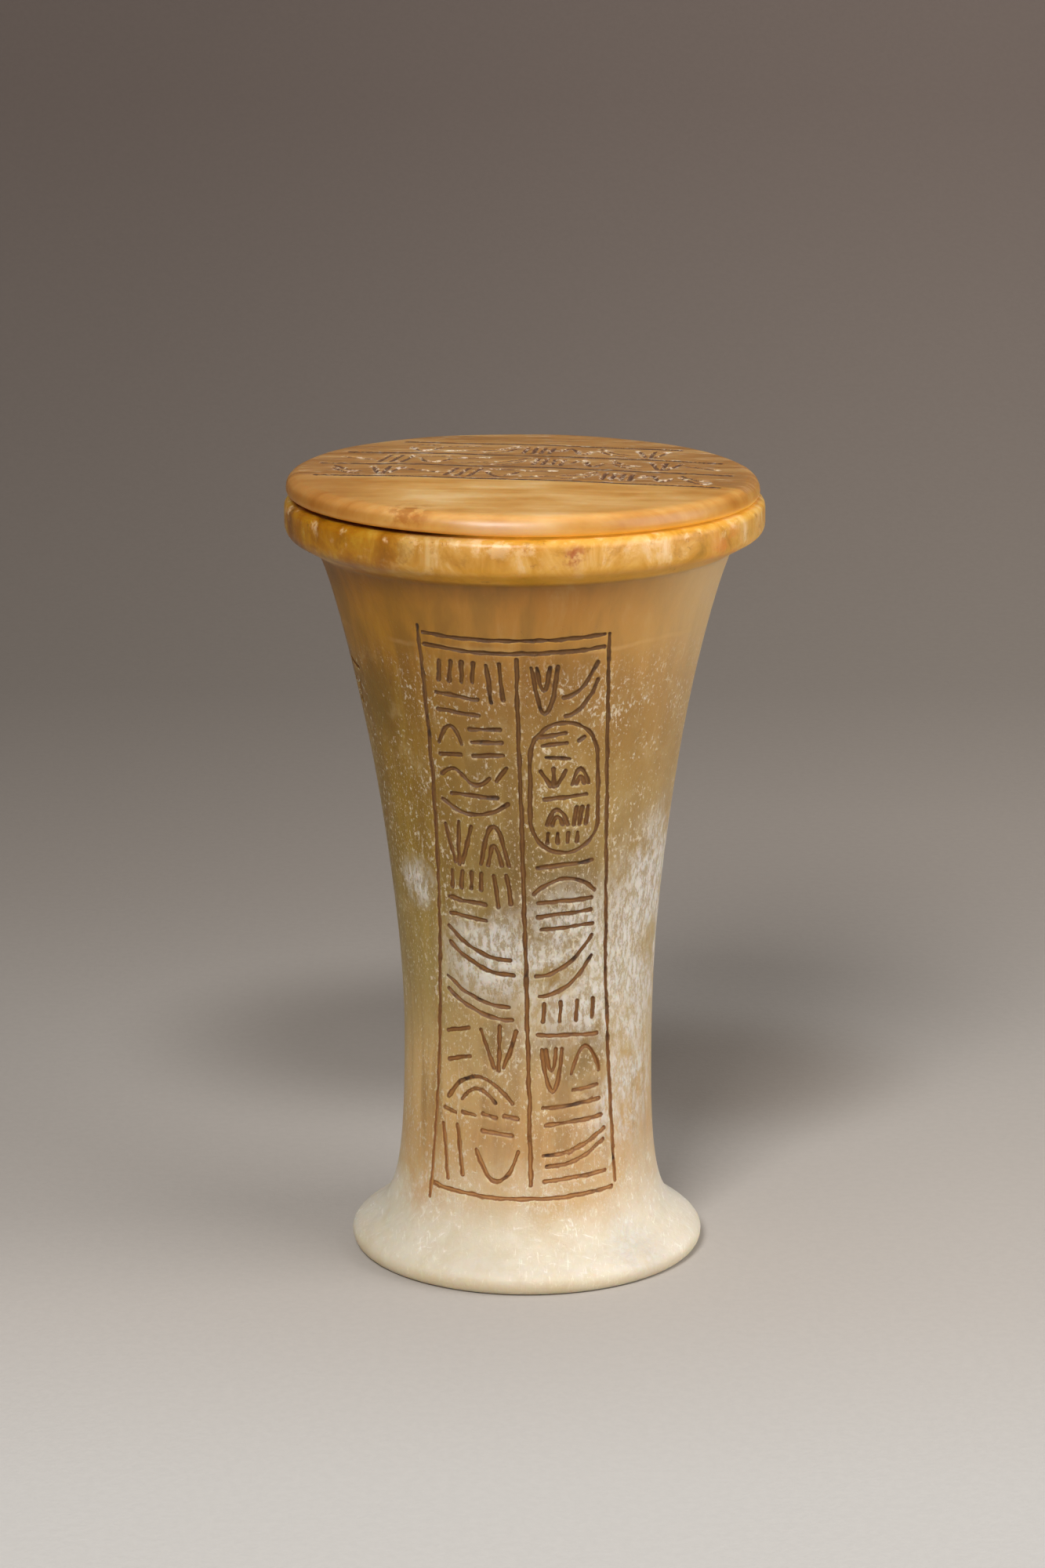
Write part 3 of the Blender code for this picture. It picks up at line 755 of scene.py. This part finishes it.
def refine(piece, flattened, strokes, reach):
    """Split once the faces whose middle is within reach of a stroke."""
    mesh = piece.data
    middles = np.empty(len(mesh.polygons) * 3)
    mesh.polygons.foreach_get("center", middles)
    flat, usable = flattened(middles.reshape(-1, 3))
    chosen = usable & (stroke_distance(flat, strokes) < reach)
    pick(piece)
    work_in("EDIT")
    bpy.ops.mesh.select_mode(type="FACE")
    bpy.ops.mesh.select_all(action="DESELECT")
    work_in("OBJECT")
    mesh.polygons.foreach_set("select", chosen)
    work_in("EDIT")
    bpy.ops.mesh.subdivide(number_cuts=1, ngon=False, quadcorner="INNERVERT")
    work_in("OBJECT")


def grain(places, scale, seed=0.0):
    """Smooth noise about zero at each place."""
    shift = Vector((seed, seed * 1.7, seed * 2.3))
    return np.array([noise.noise(Vector(place) * scale + shift) for place in places])


def round_the_jar(places):
    """Places on the outer wall laid flat: the distance round from the front, and the height."""
    wall = wall_radius(places[:, 2])
    across = np.arctan2(places[:, 0], -places[:, 1]) * wall
    outside = np.abs(np.hypot(places[:, 0], places[:, 1]) - wall) < WALL_TOLERANCE
    outside &= places[:, 2] > FOOT_JOIN_HEIGHT + CARVING_FOOT_MARGIN
    outside &= places[:, 2] < NECK_HEIGHT - CARVING_NECK_MARGIN
    return np.stack([across, places[:, 2]], 1), outside


def stroke_widths(flattened, strokes, places, width):
    """How many half widths each place is from the nearest stroke."""
    flat, outside = flattened(places)
    return np.where(outside, stroke_distance(flat, strokes), GROOVE_REACH) / width


def groove(spread_out, end, run):
    """How fully a place is cut: one along a stroke, falling smoothly to zero at the end."""
    cut = np.clip((end - spread_out) / run, 0.0, 1.0)
    return cut * cut * (3 - 2 * cut)


def carve_the_jar(piece, strokes):
    """Cut the strokes into the outer wall, and give the turned block its hand-made unevenness."""
    places = corners_of(piece)
    angle = np.arctan2(places[:, 0], -places[:, 1])
    outside = round_the_jar(places)[1]
    radius = np.where(outside, wall_radius(places[:, 2]), np.hypot(places[:, 0], places[:, 1]))
    width = GROOVE_HALF_WIDTH * (1.0 + WIDTH_CHANGE * grain(places, WIDTH_GRAIN, seed=3.0))
    spread_out = stroke_widths(round_the_jar, strokes, places, width)
    depth = DEPTH_MIDDLE + DEPTH_CHANGE * grain(places, DEPTH_GRAIN, seed=9.0)
    radius += HAND_SWELL * grain(places, HAND_SWELL_GRAIN)
    radius -= GROOVE_DEPTH * groove(spread_out, GROOVE_END, GROOVE_RUN) * depth
    places[:, 0], places[:, 1] = radius * np.sin(angle), -radius * np.cos(angle)
    rise = places[:, 2] / JAR_HEIGHT
    places[:, 0] += CENTRE_DRIFT * (np.sin(rise * DRIFT_SWINGS) * DRIFT_SWING_SHARE - rise * rise)
    near_rim_foot = np.exp(-(((places[:, 2] - RIM_SKEW_HEIGHT) / RIM_SKEW_SPREAD) ** 2))
    near_rim_foot *= np.hypot(places[:, 0], places[:, 1]) > RIM_SKEW_RADIUS
    places[:, 2] += RIM_SKEW * (places[:, 0] / RIM_RADIUS) * near_rim_foot
    cut_piece(piece, places, spread_out)


noise.seed_set(WOBBLE_SEED)
jar = turned("stone_jar", jar_profile())
jar_strokes = [chiselled(stroke) for stroke in panel_frame() + panel_marks() + side_marks()]
for reach in REFINING_REACHES:
    refine(jar, round_the_jar, jar_strokes, reach)
carve_the_jar(jar, jar_strokes)

# The jar's stone: translucent calcite, amber at the rim, olive and brown down the body and
# almost white at the foot. A vein crosses it under the rim. Below the vein it is scuffed and
# flecked, a white bloom lies on its right side, and dirt sits along the chiselled strokes.
# Painted light makes its right side paler, painted shade darkens its left side and the rim's
# left, and a painted glow shines from the rim's top edge.
# Colours are screen values. A patch is a centre and a radius, in metres from the foot's middle.
SUBSURFACE_WEIGHT = 0.7
SUBSURFACE_RADIUS = (1.0, 0.55, 0.25)
SUBSURFACE_REACH = 0.005
JAR_SPECULAR = 0.4
STONE_BUMP = 0.00022
# A painted glow: warm emission from the crease under the lid, in front and right.
GLOW_AMBER = (186, 142, 42)
GLOW_STRENGTH = 0.42
GLOW_BAND = (JAR_HEIGHT - 0.0018, JAR_HEIGHT - 0.0001)
FOOT_TOP = (0.01, 0.034)
VEIN_HEIGHT = 0.144
RIM_FOOT_HEIGHT = JAR_HEIGHT - RIM_HEIGHT + 0.0008
BAND_WARP = 0.024
BAND_STREAK = 0.022
BODY_BANDS = (
    (0.03, (213, 204, 187)), (0.075, (215, 201, 176)), (0.115, (205, 173, 127)), (0.17, (194, 154, 102)),
    (0.28, (184, 153, 103)), (0.4, (160, 136, 86)), (0.54, (146, 120, 66)), (0.66, (149, 118, 58)),
    (0.8, (144, 103, 42)), (0.87, (166, 119, 47)), (0.95, (166, 112, 38)))
RIM_MOTTLE = (
    (0.3, (150, 106, 20)), (0.42, (192, 138, 46)), (0.54, (208, 160, 80)), (0.66, (224, 190, 142)))
STROKE_FLOOR = (
    (0.1, (192, 140, 80)), (0.3, (156, 106, 52)), (0.6, (130, 88, 38)), (0.85, (120, 80, 32)))
STROKE_EDGE = ((0.1, (140, 88, 38)), (0.4, (106, 66, 24)), (0.85, (90, 56, 18)))

OLIVE = (114, 91, 44)
DARK_STREAK = (120, 84, 26)
LIGHT_STREAK = (196, 168, 112)
RIGHT_FOOT_PAINTED_LIGHT = (228, 220, 206)
RIGHT_BODY_PAINTED_LIGHT = (208, 180, 134)
RIGHT_NECK_PAINTED_LIGHT = (206, 163, 98)
LEFT_LOW_PAINTED_SHADE = (255, 255, 232)
LEFT_HIGH_PAINTED_SHADE = (242, 234, 116)
LEFT_WAIST_TAN = (214, 176, 118)
FOOT_FEATHER = (204, 188, 158)
FOOT_POWDER = (240, 234, 222)
FOOT_OCHRE = (198, 150, 88)
FOOT_EDGE_TAN = (218, 194, 142)
VEIN_TAN = (204, 164, 106)
BLOOM_WHITE = (220, 214, 205)
HAZE_TAN = (200, 178, 132)
FLECK_CREAM = (222, 208, 184)
DUST_CREAM = (226, 214, 192)
HALO_CREAM = (222, 204, 172)
CAKED_DIRT = (58, 34, 14)
RIM_FLAW = (164, 112, 34)
RIM_LEFT_PAINTED_SHADE = (212, 192, 78)
RIM_CHIP = (234, 202, 154)
RIM_LOW_YELLOW = (222, 160, 30)
RIM_PIT = (140, 90, 28)
RIM_RED = (160, 78, 30)
RIM_ORANGE = (206, 120, 44)

BLOOM_PLACES = (((0.025, -0.014, 0.073), 0.03), ((0.018, -0.022, 0.06), 0.028),
                ((0.027, -0.012, 0.089), 0.02), ((-0.0232, -0.018, 0.088), 0.0078),
                ((0.022, -0.018, 0.042), 0.019), ((0.01, -0.027, 0.073), 0.023),
                ((-0.007, -0.026, 0.074), 0.016), ((0.03, -0.022, 0.025), 0.01),
                ((0.026, -0.028, 0.01), 0.012))
BLOOM_GAP = ((0.008, -0.0265, 0.0475), 0.015)
OLIVE_PLACES = (((0.004, -0.029, 0.09), 0.02), ((-0.028, -0.016, 0.13), 0.015),
                ((0.01, -0.027, 0.051), 0.016), ((-0.012, -0.025, 0.056), 0.013))
LEFT_WAIST_PLACE = ((-0.023, -0.017, 0.04), 0.017)
OCHRE_PLACE = ((-0.025, -0.017, 0.022), 0.015)
DARK_PIT_PLACE = ((0.0107, -0.0262, 0.0385), 0.0042)
RED_SPOT_PLACE = ((0.01, -0.0515, 0.166), 0.0036)
ORANGE_STAIN_PLACE = ((0.042, -0.03, 0.163), 0.0085)


def sink_light_and_paint_glow(stone, crease):
    """Light sinks in, and a painted glow, warm emission, shines out of the crease under the lid, in
    front and right.
    """
    share = crease * stone.x.within(-0.022, 0.002) * stone.y.within(0.01, -0.02)
    painted_glow = stone.mix(share, (0, 0, 0), GLOW_AMBER)
    settings = {"Subsurface Weight": SUBSURFACE_WEIGHT, "Subsurface Radius": SUBSURFACE_RADIUS,
                "Subsurface Scale": SUBSURFACE_REACH, "Emission Color": painted_glow,
                "Emission Strength": GLOW_STRENGTH}
    stone.feed(stone.shader, settings)


def any_patch(stone, places):
    """One inside any of several round patches in space."""
    share, *others = [stone.patch(*place) for place in places]
    for other in others:
        share = share.math("MAXIMUM", other)
    return share


def band_the_body(stone, banding, streaks, above_foot):
    """Cream, tan, olive and brown bands, paler to the right with painted light and darker and more olive
    to the left with painted shade.
    """
    stone.colour = stone.ramp(banding, BODY_BANDS)
    olive = any_patch(stone, OLIVE_PLACES) * stone.clouds(60).within(0.35, 0.6)
    stone.lay(olive * 0.76, OLIVE)
    stone.lay(streaks.within(0.58, 0.36) * above_foot * 0.4, DARK_STREAK)
    stone.lay(streaks.within(0.55, 0.75) * above_foot * 0.3, LIGHT_STREAK)
    # Painted light: the body is paler on its right side.
    paler = stone.mix(above_foot, RIGHT_FOOT_PAINTED_LIGHT, RIGHT_BODY_PAINTED_LIGHT)
    at_neck = stone.z.within(0.1, 0.122) * stone.x.within(0.041, 0.022)
    paler = stone.mix(at_neck, paler, RIGHT_NECK_PAINTED_LIGHT)
    right_light_share = 0.34 + stone.z.within(0.118, 0.15) * 0.28
    stone.lay(stone.x.within(0.002, 0.042) * right_light_share, paler)
    # Painted shade: the body is darker and more olive on its left side.
    darker = stone.mix(stone.z.within(0.05, 0.1), LEFT_LOW_PAINTED_SHADE, LEFT_HIGH_PAINTED_SHADE)
    stone.lay(stone.x.within(-0.004, -0.032) * (above_foot * 0.8 + 0.2), darker, "MULTIPLY")


def powder_the_foot(stone, streaks):
    """Feathered and fibrous white on the foot, an ochre patch at its left and a tan lower edge."""
    on_foot = stone.z.within(*FOOT_TOP[::-1])
    feathered = stone.drawn_out((130, 130, 90), 6.0, 0.7, 0.6)
    stone.lay(feathered.within(0.42, 0.6) * on_foot * 0.4, FOOT_FEATHER)
    brushed = stone.drawn_out((1500, 230, 500), 4.0, 0.65, 0.7, (0.5, 0.2, 0.6))
    crossed = stone.drawn_out((280, 1400, 600), 4.0, 0.65, 0.7, (0.2, 0.6, 0.3))
    fibres = (brushed.within(0.56, 0.68) + crossed.within(0.58, 0.7)) * on_foot
    powder = stone.clouds(70, 5.0, 0.7).within(0.42, 0.62)
    stone.lay(powder * on_foot * 0.3 + fibres * (powder * 0.6 + 0.2), FOOT_POWDER)
    stone.lay(stone.patch(*OCHRE_PLACE) * feathered.within(0.36, 0.56) * 0.6, FOOT_OCHRE)
    stone.lay(stone.z.within(0.005, 0.001) * 0.42, FOOT_EDGE_TAN)
    stone.lay(stone.patch(*LEFT_WAIST_PLACE) * streaks.within(0.36, 0.56) * 0.5, LEFT_WAIST_TAN)


def draw_the_vein(stone):
    """One thin light line round the neck, broken here and there."""
    wander = stone.z + (stone.clouds(45) - 0.5) * 0.006
    vein = (wander - VEIN_HEIGHT).math("ABSOLUTE").within(0.0009, 0.0001)
    stone.lay(vein * stone.clouds(80, 2.0).within(0.35, 0.6) * 0.3, VEIN_TAN)


def bloom_the_right(stone, crust):
    """The white bloom, in patches that break up into a felt of flakes."""
    cloud = stone.clouds(75, 5.0, 0.62, 0.6)
    bloom = any_patch(stone, BLOOM_PLACES) * cloud.within(0.32, 0.52)
    clear = stone.patch(*BLOOM_GAP)
    bloom = bloom * (crust.within(0.42, 0.55) * 0.72 + 0.28) * (1.0 - clear * 0.8)
    stone.lay(bloom * 0.88, BLOOM_WHITE)
    return bloom


def scuff(stone, fine_streaks, below_vein):
    """Haze, flecks, dust and fine upright scratches below the vein; returns haze and flecks."""
    haze = stone.clouds(140, 5.0, 0.7).within(0.5, 0.78) * below_vein
    stone.lay(haze * 0.32, HAZE_TAN)
    dots = stone.drawn_out((1250, 1250, 850), 3.0, 0.6, 0.3)
    clusters = stone.clouds(85, 4.0, 0.6)
    flecks = (dots + (clusters - 0.5) * 0.42).within(0.575, 0.7) * below_vein
    flecks = flecks * stone.z.within(-0.004, 0.024)
    stone.lay(flecks * 0.62, FLECK_CREAM)
    dust = stone.drawn_out((2400, 2400, 1300), 2.0, 0.5).within(0.6, 0.72)
    dusty = stone.clouds(38, 4.0, 0.6).within(0.42, 0.6) * below_vein
    stone.lay(dust * dusty * 0.55, DUST_CREAM)
    scratches = fine_streaks.within(0.62, 0.72) * clusters.within(0.4, 0.6) * below_vein
    stone.lay(scratches * 0.5, FLECK_CREAM)
    return haze, flecks


def stain_the_strokes(stone, carved, banding, below_vein):
    """Brown cut stone with a dark edge, powdery lips and some caked dirt."""
    ragged = carved + (stone.clouds(900, 2.0) - 0.5) * 0.7
    halo = ragged.within(2.5, 1.4) * stone.clouds(420, 4.0, 0.65).within(0.52, 0.68)
    stone.lay(halo * 0.5 * below_vein, HALO_CREAM)
    dirt = stone.clouds(160, 3.0, 0.6)
    stone.lay(ragged.within(1.25, 0.95) * 0.95, stone.ramp(banding, STROKE_EDGE))
    stone.lay(ragged.within(0.62, 0.34) * dirt.within(0.72, 0.5), stone.ramp(banding, STROKE_FLOOR))
    caked = dirt.within(0.6, 0.7).math("MAXIMUM", stone.patch(*DARK_PIT_PLACE))
    stone.lay(carved.within(1.1, 0.7) * caked * 0.9, CAKED_DIRT)


def rim_amber(stone, mottle, pits):
    """The rim's mottled amber, with its flaws, chips, pits and two stains, and painted shade on its
    left.
    """
    amber = stone.ramp(mottle, RIM_MOTTLE)
    flaws = stone.clouds(150, 6.0, 0.7, 0.4).within(0.52, 0.64)
    amber = stone.mix(flaws * 0.45, amber, RIM_FLAW)
    # Painted shade: the rim is darker to the left.
    amber = stone.mix(stone.x.within(-0.004, -0.036), amber, RIM_LEFT_PAINTED_SHADE, "MULTIPLY")
    top_edge = stone.z.within(JAR_HEIGHT - 0.0045, JAR_HEIGHT - 0.0008)
    chips = stone.clouds(230, 5.0, 0.66).within(0.52, 0.66)
    amber = stone.mix(chips * (top_edge * 0.5 + 0.15), amber, RIM_CHIP)
    low_edge = stone.z.within(RIM_FOOT_HEIGHT + 0.0052, RIM_FOOT_HEIGHT + 0.0028)
    amber = stone.mix(low_edge * stone.x.within(-0.034, -0.01) * 0.55, amber, RIM_LOW_YELLOW)
    amber = stone.mix(pits * 0.55, amber, RIM_PIT)
    red_spot = stone.patch(*RED_SPOT_PLACE) * stone.clouds(500).within(0.35, 0.6)
    amber = stone.mix(red_spot * 0.9, amber, RIM_RED)
    stain = stone.patch(*ORANGE_STAIN_PLACE) * stone.clouds(260).within(0.35, 0.6)
    return stone.mix(stain * 0.55, amber, RIM_ORANGE)


def jar_calcite():
    """The jar's whole material, from the stone's bands out to its dirt, and the rim last."""
    stone = Stone("jar_calcite")
    sink_light_and_paint_glow(stone, stone.z.within(*GLOW_BAND))
    stone.feed(stone.shader, {"Specular IOR Level": JAR_SPECULAR})
    above_foot = stone.z.within(*FOOT_TOP)
    below_vein = stone.z.within(VEIN_HEIGHT + 0.001, VEIN_HEIGHT - 0.01)
    rim = stone.z.within(RIM_FOOT_HEIGHT - 0.0006, RIM_FOOT_HEIGHT + 0.0006)
    carved = stone.carved()
    streaks = stone.drawn_out((170, 170, 16), 5.0, 0.6, 0.4)
    fine_streaks = stone.drawn_out((900, 900, 70), 3.0, 0.6)
    crust = stone.drawn_out((800, 800, 360), 6.0, 0.75, 0.2)
    mottle = stone.drawn_out((110, 110, 70), 5.0, 0.62, 0.7)
    rim_pits = stone.clouds(420, 4.0, 0.7).within(0.6, 0.7) * stone.clouds(90).within(0.46, 0.62)
    warped = stone.z + (stone.clouds(22, 2.0) - 0.5) * BAND_WARP
    warped = warped + (streaks - 0.5) * BAND_STREAK * above_foot
    banding = warped * (1 / JAR_HEIGHT)

    band_the_body(stone, banding, streaks, above_foot)
    powder_the_foot(stone, streaks)
    draw_the_vein(stone)
    bloom = bloom_the_right(stone, crust)
    haze, flecks = scuff(stone, fine_streaks, below_vein)
    stain_the_strokes(stone, carved, banding, below_vein)
    stone.lay(rim, rim_amber(stone, mottle, rim_pits))

    roughness = 0.4 + bloom * 0.25 + haze * 0.08 + flecks * 0.15 + stone.z.within(0.03, 0.012) * 0.14
    roughness = roughness + carved.within(1.5, 0.8) * 0.15 - rim * 0.06
    pitted = stone.clouds(420, 5.0, 0.65) * 0.6 + crust * bloom * 0.9 + flecks * 0.25
    scraped = pitted + fine_streaks * 0.35 * below_vein + mottle * rim * 0.8 - rim_pits * 0.5
    return stone.finish(roughness, stone.bumped(scraped, STONE_BUMP))


dress(jar, jar_calcite())
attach(jar, "root")
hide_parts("jar")


# The lid: a thin turned disc of the same stone with a boss below that drops into the mouth.
# It lies loose, a little to the left and leaning by a hair. Four ruled lines cross its top
# with rows of scratched strokes between them, and its front third is bare.
LID_INSET = 0.0008
LID_THICKNESS = 0.0043
LID_LOWER_ROUNDING = 0.0012
LID_UPPER_ROUNDING = 0.0029
BOSS_DEPTH = 0.004
BOSS_ROUNDING = 0.001
BOSS_ROWS = 4
LID_CLEARANCE = 0.0015
LID_SHIFT = 0.0009
LID_LEAN = radians(0.4)
RESTING_GAP = 0.0003
LID_RULE_FRONT = -0.0109
LID_RULE_PITCH = 0.0145
LID_RULE_COUNT = 4
LID_RULE_TURN = radians(-8.0)
LID_RULE_MARGIN = 0.0035
LID_ROW_HEIGHT = 0.009
LID_SIGN_PITCH = 0.0084
LID_RADIUS = RIM_RADIUS - LID_INSET
LID_FLAT_RADIUS = LID_RADIUS - LID_UPPER_ROUNDING
LID_HEIGHT = JAR_HEIGHT + RESTING_GAP + (LID_RADIUS - LID_LOWER_ROUNDING) * sin(LID_LEAN)
LID_TOP_TOLERANCE = 0.0004
LID_TOP_ROWS = 40
LID_UNDER_ROWS = 6
LID_DOME = 0.0006
LID_SWELL = 0.00012
LID_SWELL_GRAIN = 60.0
LID_GROOVE_HALF_WIDTH = 0.00048
LID_GROOVE_DEPTH = 0.00035
LID_GROOVE_END = 1.2
LID_GROOVE_RUN = 0.8
LID_WIDTH_CHANGE = 0.35
LID_WIDTH_GRAIN = 500.0
LID_REFINING_REACHES = (0.0014, 0.0008)
LID_MARKS = ("swoops", "fan", "bar", "slants", "cup and bar", "two bars", "rises", "ticks", "wave")


def lid_profile():
    """The lid's section from the middle of the boss's underside to the middle of the top."""
    boss_radius = MOUTH_RADIUS - LID_CLEARANCE
    boss_low, boss_root = (boss_radius, -BOSS_DEPTH), (boss_radius, 0.0)
    edge_low, edge_top = (LID_RADIUS, 0.0), (LID_RADIUS, LID_THICKNESS)
    profile = rounded((0.0, -BOSS_DEPTH), boss_low, boss_root, BOSS_ROUNDING)
    profile += between(profile[-1], boss_root, BOSS_ROWS) + [boss_root]
    profile += between(boss_root, edge_low, LID_UNDER_ROWS)
    profile += rounded(boss_root, edge_low, edge_top, LID_LOWER_ROUNDING)
    profile += rounded(edge_low, edge_top, (0.0, LID_THICKNESS), LID_UPPER_ROUNDING)
    profile += between(profile[-1], (0.0, LID_THICKNESS), LID_TOP_ROWS)
    return profile


def half_chord(y):
    """How far a line across the lid may run to each side, at a distance from the middle."""
    return sqrt((LID_FLAT_RADIUS - LID_RULE_MARGIN) ** 2 - y * y)


def lid_strokes():
    """Ruled lines across the lid's top, and a row of marks in each space between them."""
    strokes = []
    for rule in range(LID_RULE_COUNT):
        y = LID_RULE_FRONT + rule * LID_RULE_PITCH
        strokes.append([(-half_chord(y), y), (half_chord(y), y)])
        if rule == LID_RULE_COUNT - 1:
            continue
        row_far = y + LID_RULE_PITCH / 2 + LID_ROW_HEIGHT / 2
        count = int(2 * half_chord(row_far) / LID_SIGN_PITCH)
        for place in range(count):
            left = (place - count / 2) * LID_SIGN_PITCH + LID_RULE_MARGIN / 4
            width = LID_SIGN_PITCH - LID_RULE_MARGIN / 2
            mark = LID_MARKS[(place + 2 * rule) % len(LID_MARKS)]
            for stroke in MARKS[mark]:
                strokes.append([(left + width * x, row_far - LID_ROW_HEIGHT * (1 - share))
                                for x, share in stroke])
    turn_cos, turn_sin = cos(LID_RULE_TURN), sin(LID_RULE_TURN)
    return [[(x * turn_cos - y * turn_sin, x * turn_sin + y * turn_cos) for x, y in stroke]
            for stroke in strokes]


def lid_top(places):
    """Places on the lid's flat top, seen from above."""
    inside = np.hypot(places[:, 0], places[:, 1]) < LID_FLAT_RADIUS
    return places[:, :2], inside & (places[:, 2] > LID_THICKNESS - LID_TOP_TOLERANCE)


def set_down(places):
    """The lid's places once it leans by a hair and lies on the rim, a little to the left."""
    lean_cos, lean_sin = cos(LID_LEAN), sin(LID_LEAN)
    leaning_x = places[:, 0] * lean_cos + places[:, 2] * lean_sin - LID_SHIFT
    leaning_z = places[:, 2] * lean_cos - places[:, 0] * lean_sin + LID_HEIGHT
    return np.stack([leaning_x, places[:, 1], leaning_z], 1)


def carve_the_lid(piece, strokes):
    """Cut the strokes into the top, give it a slight dome and swell, and set it down."""
    places = corners_of(piece)
    width = LID_GROOVE_HALF_WIDTH * (1.0 + LID_WIDTH_CHANGE * grain(places, LID_WIDTH_GRAIN, seed=5.0))
    spread_out = stroke_widths(lid_top, strokes, places, width)
    places[:, 2] -= LID_GROOVE_DEPTH * groove(spread_out, LID_GROOVE_END, LID_GROOVE_RUN)
    reach_out = np.hypot(places[:, 0], places[:, 1]) / LID_RADIUS
    top = np.clip(places[:, 2] / LID_THICKNESS, 0, 1)
    swell = LID_SWELL * grain(places, LID_SWELL_GRAIN, seed=2.0)
    places[:, 2] += LID_DOME * (1 - reach_out ** 2) * top + swell * top
    cut_piece(piece, set_down(places), spread_out)


lid = turned("stone_lid", lid_profile())
lid_lines = [chiselled(stroke) for stroke in lid_strokes()]
for reach in LID_REFINING_REACHES:
    refine(lid, lid_top, lid_lines, reach)
carve_the_lid(lid, lid_lines)

# The lid's stone: honey-coloured, with a grain that runs along the ruled lines. It is browner
# and worn where it is written on, has a painted highlight on its front edge and is stained to
# the left there. Painted shade darkens its left and right ends and its upper rounded edge, and
# a painted glow lies along its lower edge.
LID_HONEY = (
    (0.36, (194, 135, 58)), (0.46, (210, 156, 82)), (0.54, (219, 170, 100)), (0.64, (230, 190, 130)))
LID_WRITTEN_BROWN = (
    (0.3, (124, 80, 34)), (0.48, (154, 106, 53)), (0.62, (172, 126, 72)), (0.78, (194, 153, 102)))
LID_LEFT_PAINTED_SHADE = (214, 198, 178)
LID_RIGHT_PAINTED_SHADE = (236, 228, 206)
LID_EDGE_PAINTED_SHADE = (228, 220, 190)
LID_PAINTED_HIGHLIGHT = (238, 212, 182)
LID_WORN_LIGHT = (226, 204, 176)
LID_WORN_DARK = (108, 72, 48)
LID_STAIN = (166, 104, 32)
LID_LOW_AMBER = (226, 160, 52)
LID_CHIP_CREAM = (236, 218, 194)
LID_DIRT = (88, 58, 44)
LID_RULE_DIRT = (74, 46, 30)
PAINTED_HIGHLIGHT_PLACE = ((-0.004, -0.0495, LID_HEIGHT + 0.003), 0.015)
LID_STAIN_PLACE = ((-0.025, -0.043, LID_HEIGHT + 0.003), 0.008)
LID_TOP_HEIGHT = LID_HEIGHT + LID_THICKNESS


def lid_calcite():
    """The lid's whole material, from the stone's grain out to the dirt in the strokes."""
    stone = Stone("lid_calcite")
    x, y, z = stone.x, stone.y, stone.z
    crease = z.within(LID_HEIGHT + 0.0011, LID_HEIGHT) * z.within(LID_HEIGHT - 0.002, LID_HEIGHT)
    # A painted glow along the lid's lower edge.
    sink_light_and_paint_glow(stone, crease)
    along_rules = (0.0, 0.0, -LID_RULE_TURN)
    grain_lines = stone.drawn_out((40, 260, 60), 5.0, 0.6, 0.3, along_rules)
    worn = stone.drawn_out((180, 1100, 180), 4.0, 0.65, 0.0, along_rules)
    cloud = stone.clouds(60, 4.0, 0.6)
    beyond = y * cos(LID_RULE_TURN) - (x + LID_SHIFT) * sin(LID_RULE_TURN) - LID_RULE_FRONT
    on_top = z.within(LID_TOP_HEIGHT - 0.0022, LID_TOP_HEIGHT - 0.0008)
    on_edge = z.within(LID_TOP_HEIGHT - 0.0004, LID_TOP_HEIGHT - 0.0018)
    written = (beyond + (cloud - 0.5) * 0.006).within(-0.001, 0.0014) * on_top

    stone.colour = stone.ramp(grain_lines * 0.5 + cloud * 0.5, LID_HONEY)
    # Painted shade: the lid is darker towards its left and right ends.
    stone.lay(x.within(-0.02, -0.05) * 0.95, LID_LEFT_PAINTED_SHADE, "MULTIPLY")
    stone.lay(x.within(0.018, 0.046) * 0.8, LID_RIGHT_PAINTED_SHADE, "MULTIPLY")
    # Painted shade along the lid's upper rounded edge.
    stone.lay(on_edge, LID_EDGE_PAINTED_SHADE, "MULTIPLY")
    # Painted highlight: a pale patch on the front of the upper edge.
    stone.lay(stone.patch(*PAINTED_HIGHLIGHT_PLACE) * on_edge * 0.3, LID_PAINTED_HIGHLIGHT)
    stone.lay(written * 0.85, stone.ramp(grain_lines, LID_WRITTEN_BROWN))
    stone.lay(worn.within(0.58, 0.7) * written * 0.5, LID_WORN_LIGHT)
    stone.lay(worn.within(0.43, 0.33) * written * 0.55, LID_WORN_DARK)
    ring = stone.clouds(300, 4.0, 0.6).within(0.42, 0.58)
    stone.lay(stone.patch(*LID_STAIN_PLACE) * ring * 0.8, LID_STAIN)
    stone.lay(z.within(LID_HEIGHT + 0.0022, LID_HEIGHT + 0.0002) * 0.55, LID_LOW_AMBER)

    carved = stone.carved()
    ragged = carved + (stone.clouds(1300, 2.0) - 0.5) * 1.0
    chipped = stone.clouds(380, 4.0, 0.7)
    stone.lay(ragged.within(2.7, 1.6) * chipped.within(0.52, 0.62) * 0.6, LID_CHIP_CREAM)
    stone.lay(ragged.within(1.4, 0.8) * chipped.within(0.62, 0.48) * 0.88, LID_DIRT)
    ruled = beyond.math("PINGPONG", LID_RULE_PITCH / 2).within(0.0012, 0.0008)
    stone.lay(ruled * carved.within(1.7, 1.1) * 0.95, LID_RULE_DIRT)

    roughness = 0.34 + on_top * 0.09 + written * 0.12 + carved.within(1.6, 0.8) * 0.15
    roughness = roughness + worn.within(0.6, 0.72) * written * 0.15
    height = stone.clouds(350, 5.0, 0.65) * 0.25 + grain_lines * 0.35 * on_top + worn * written * 0.8
    return stone.finish(roughness, stone.bumped(height, STONE_BUMP))


dress(lid, lid_calcite())
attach(lid, "root")
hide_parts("lid")
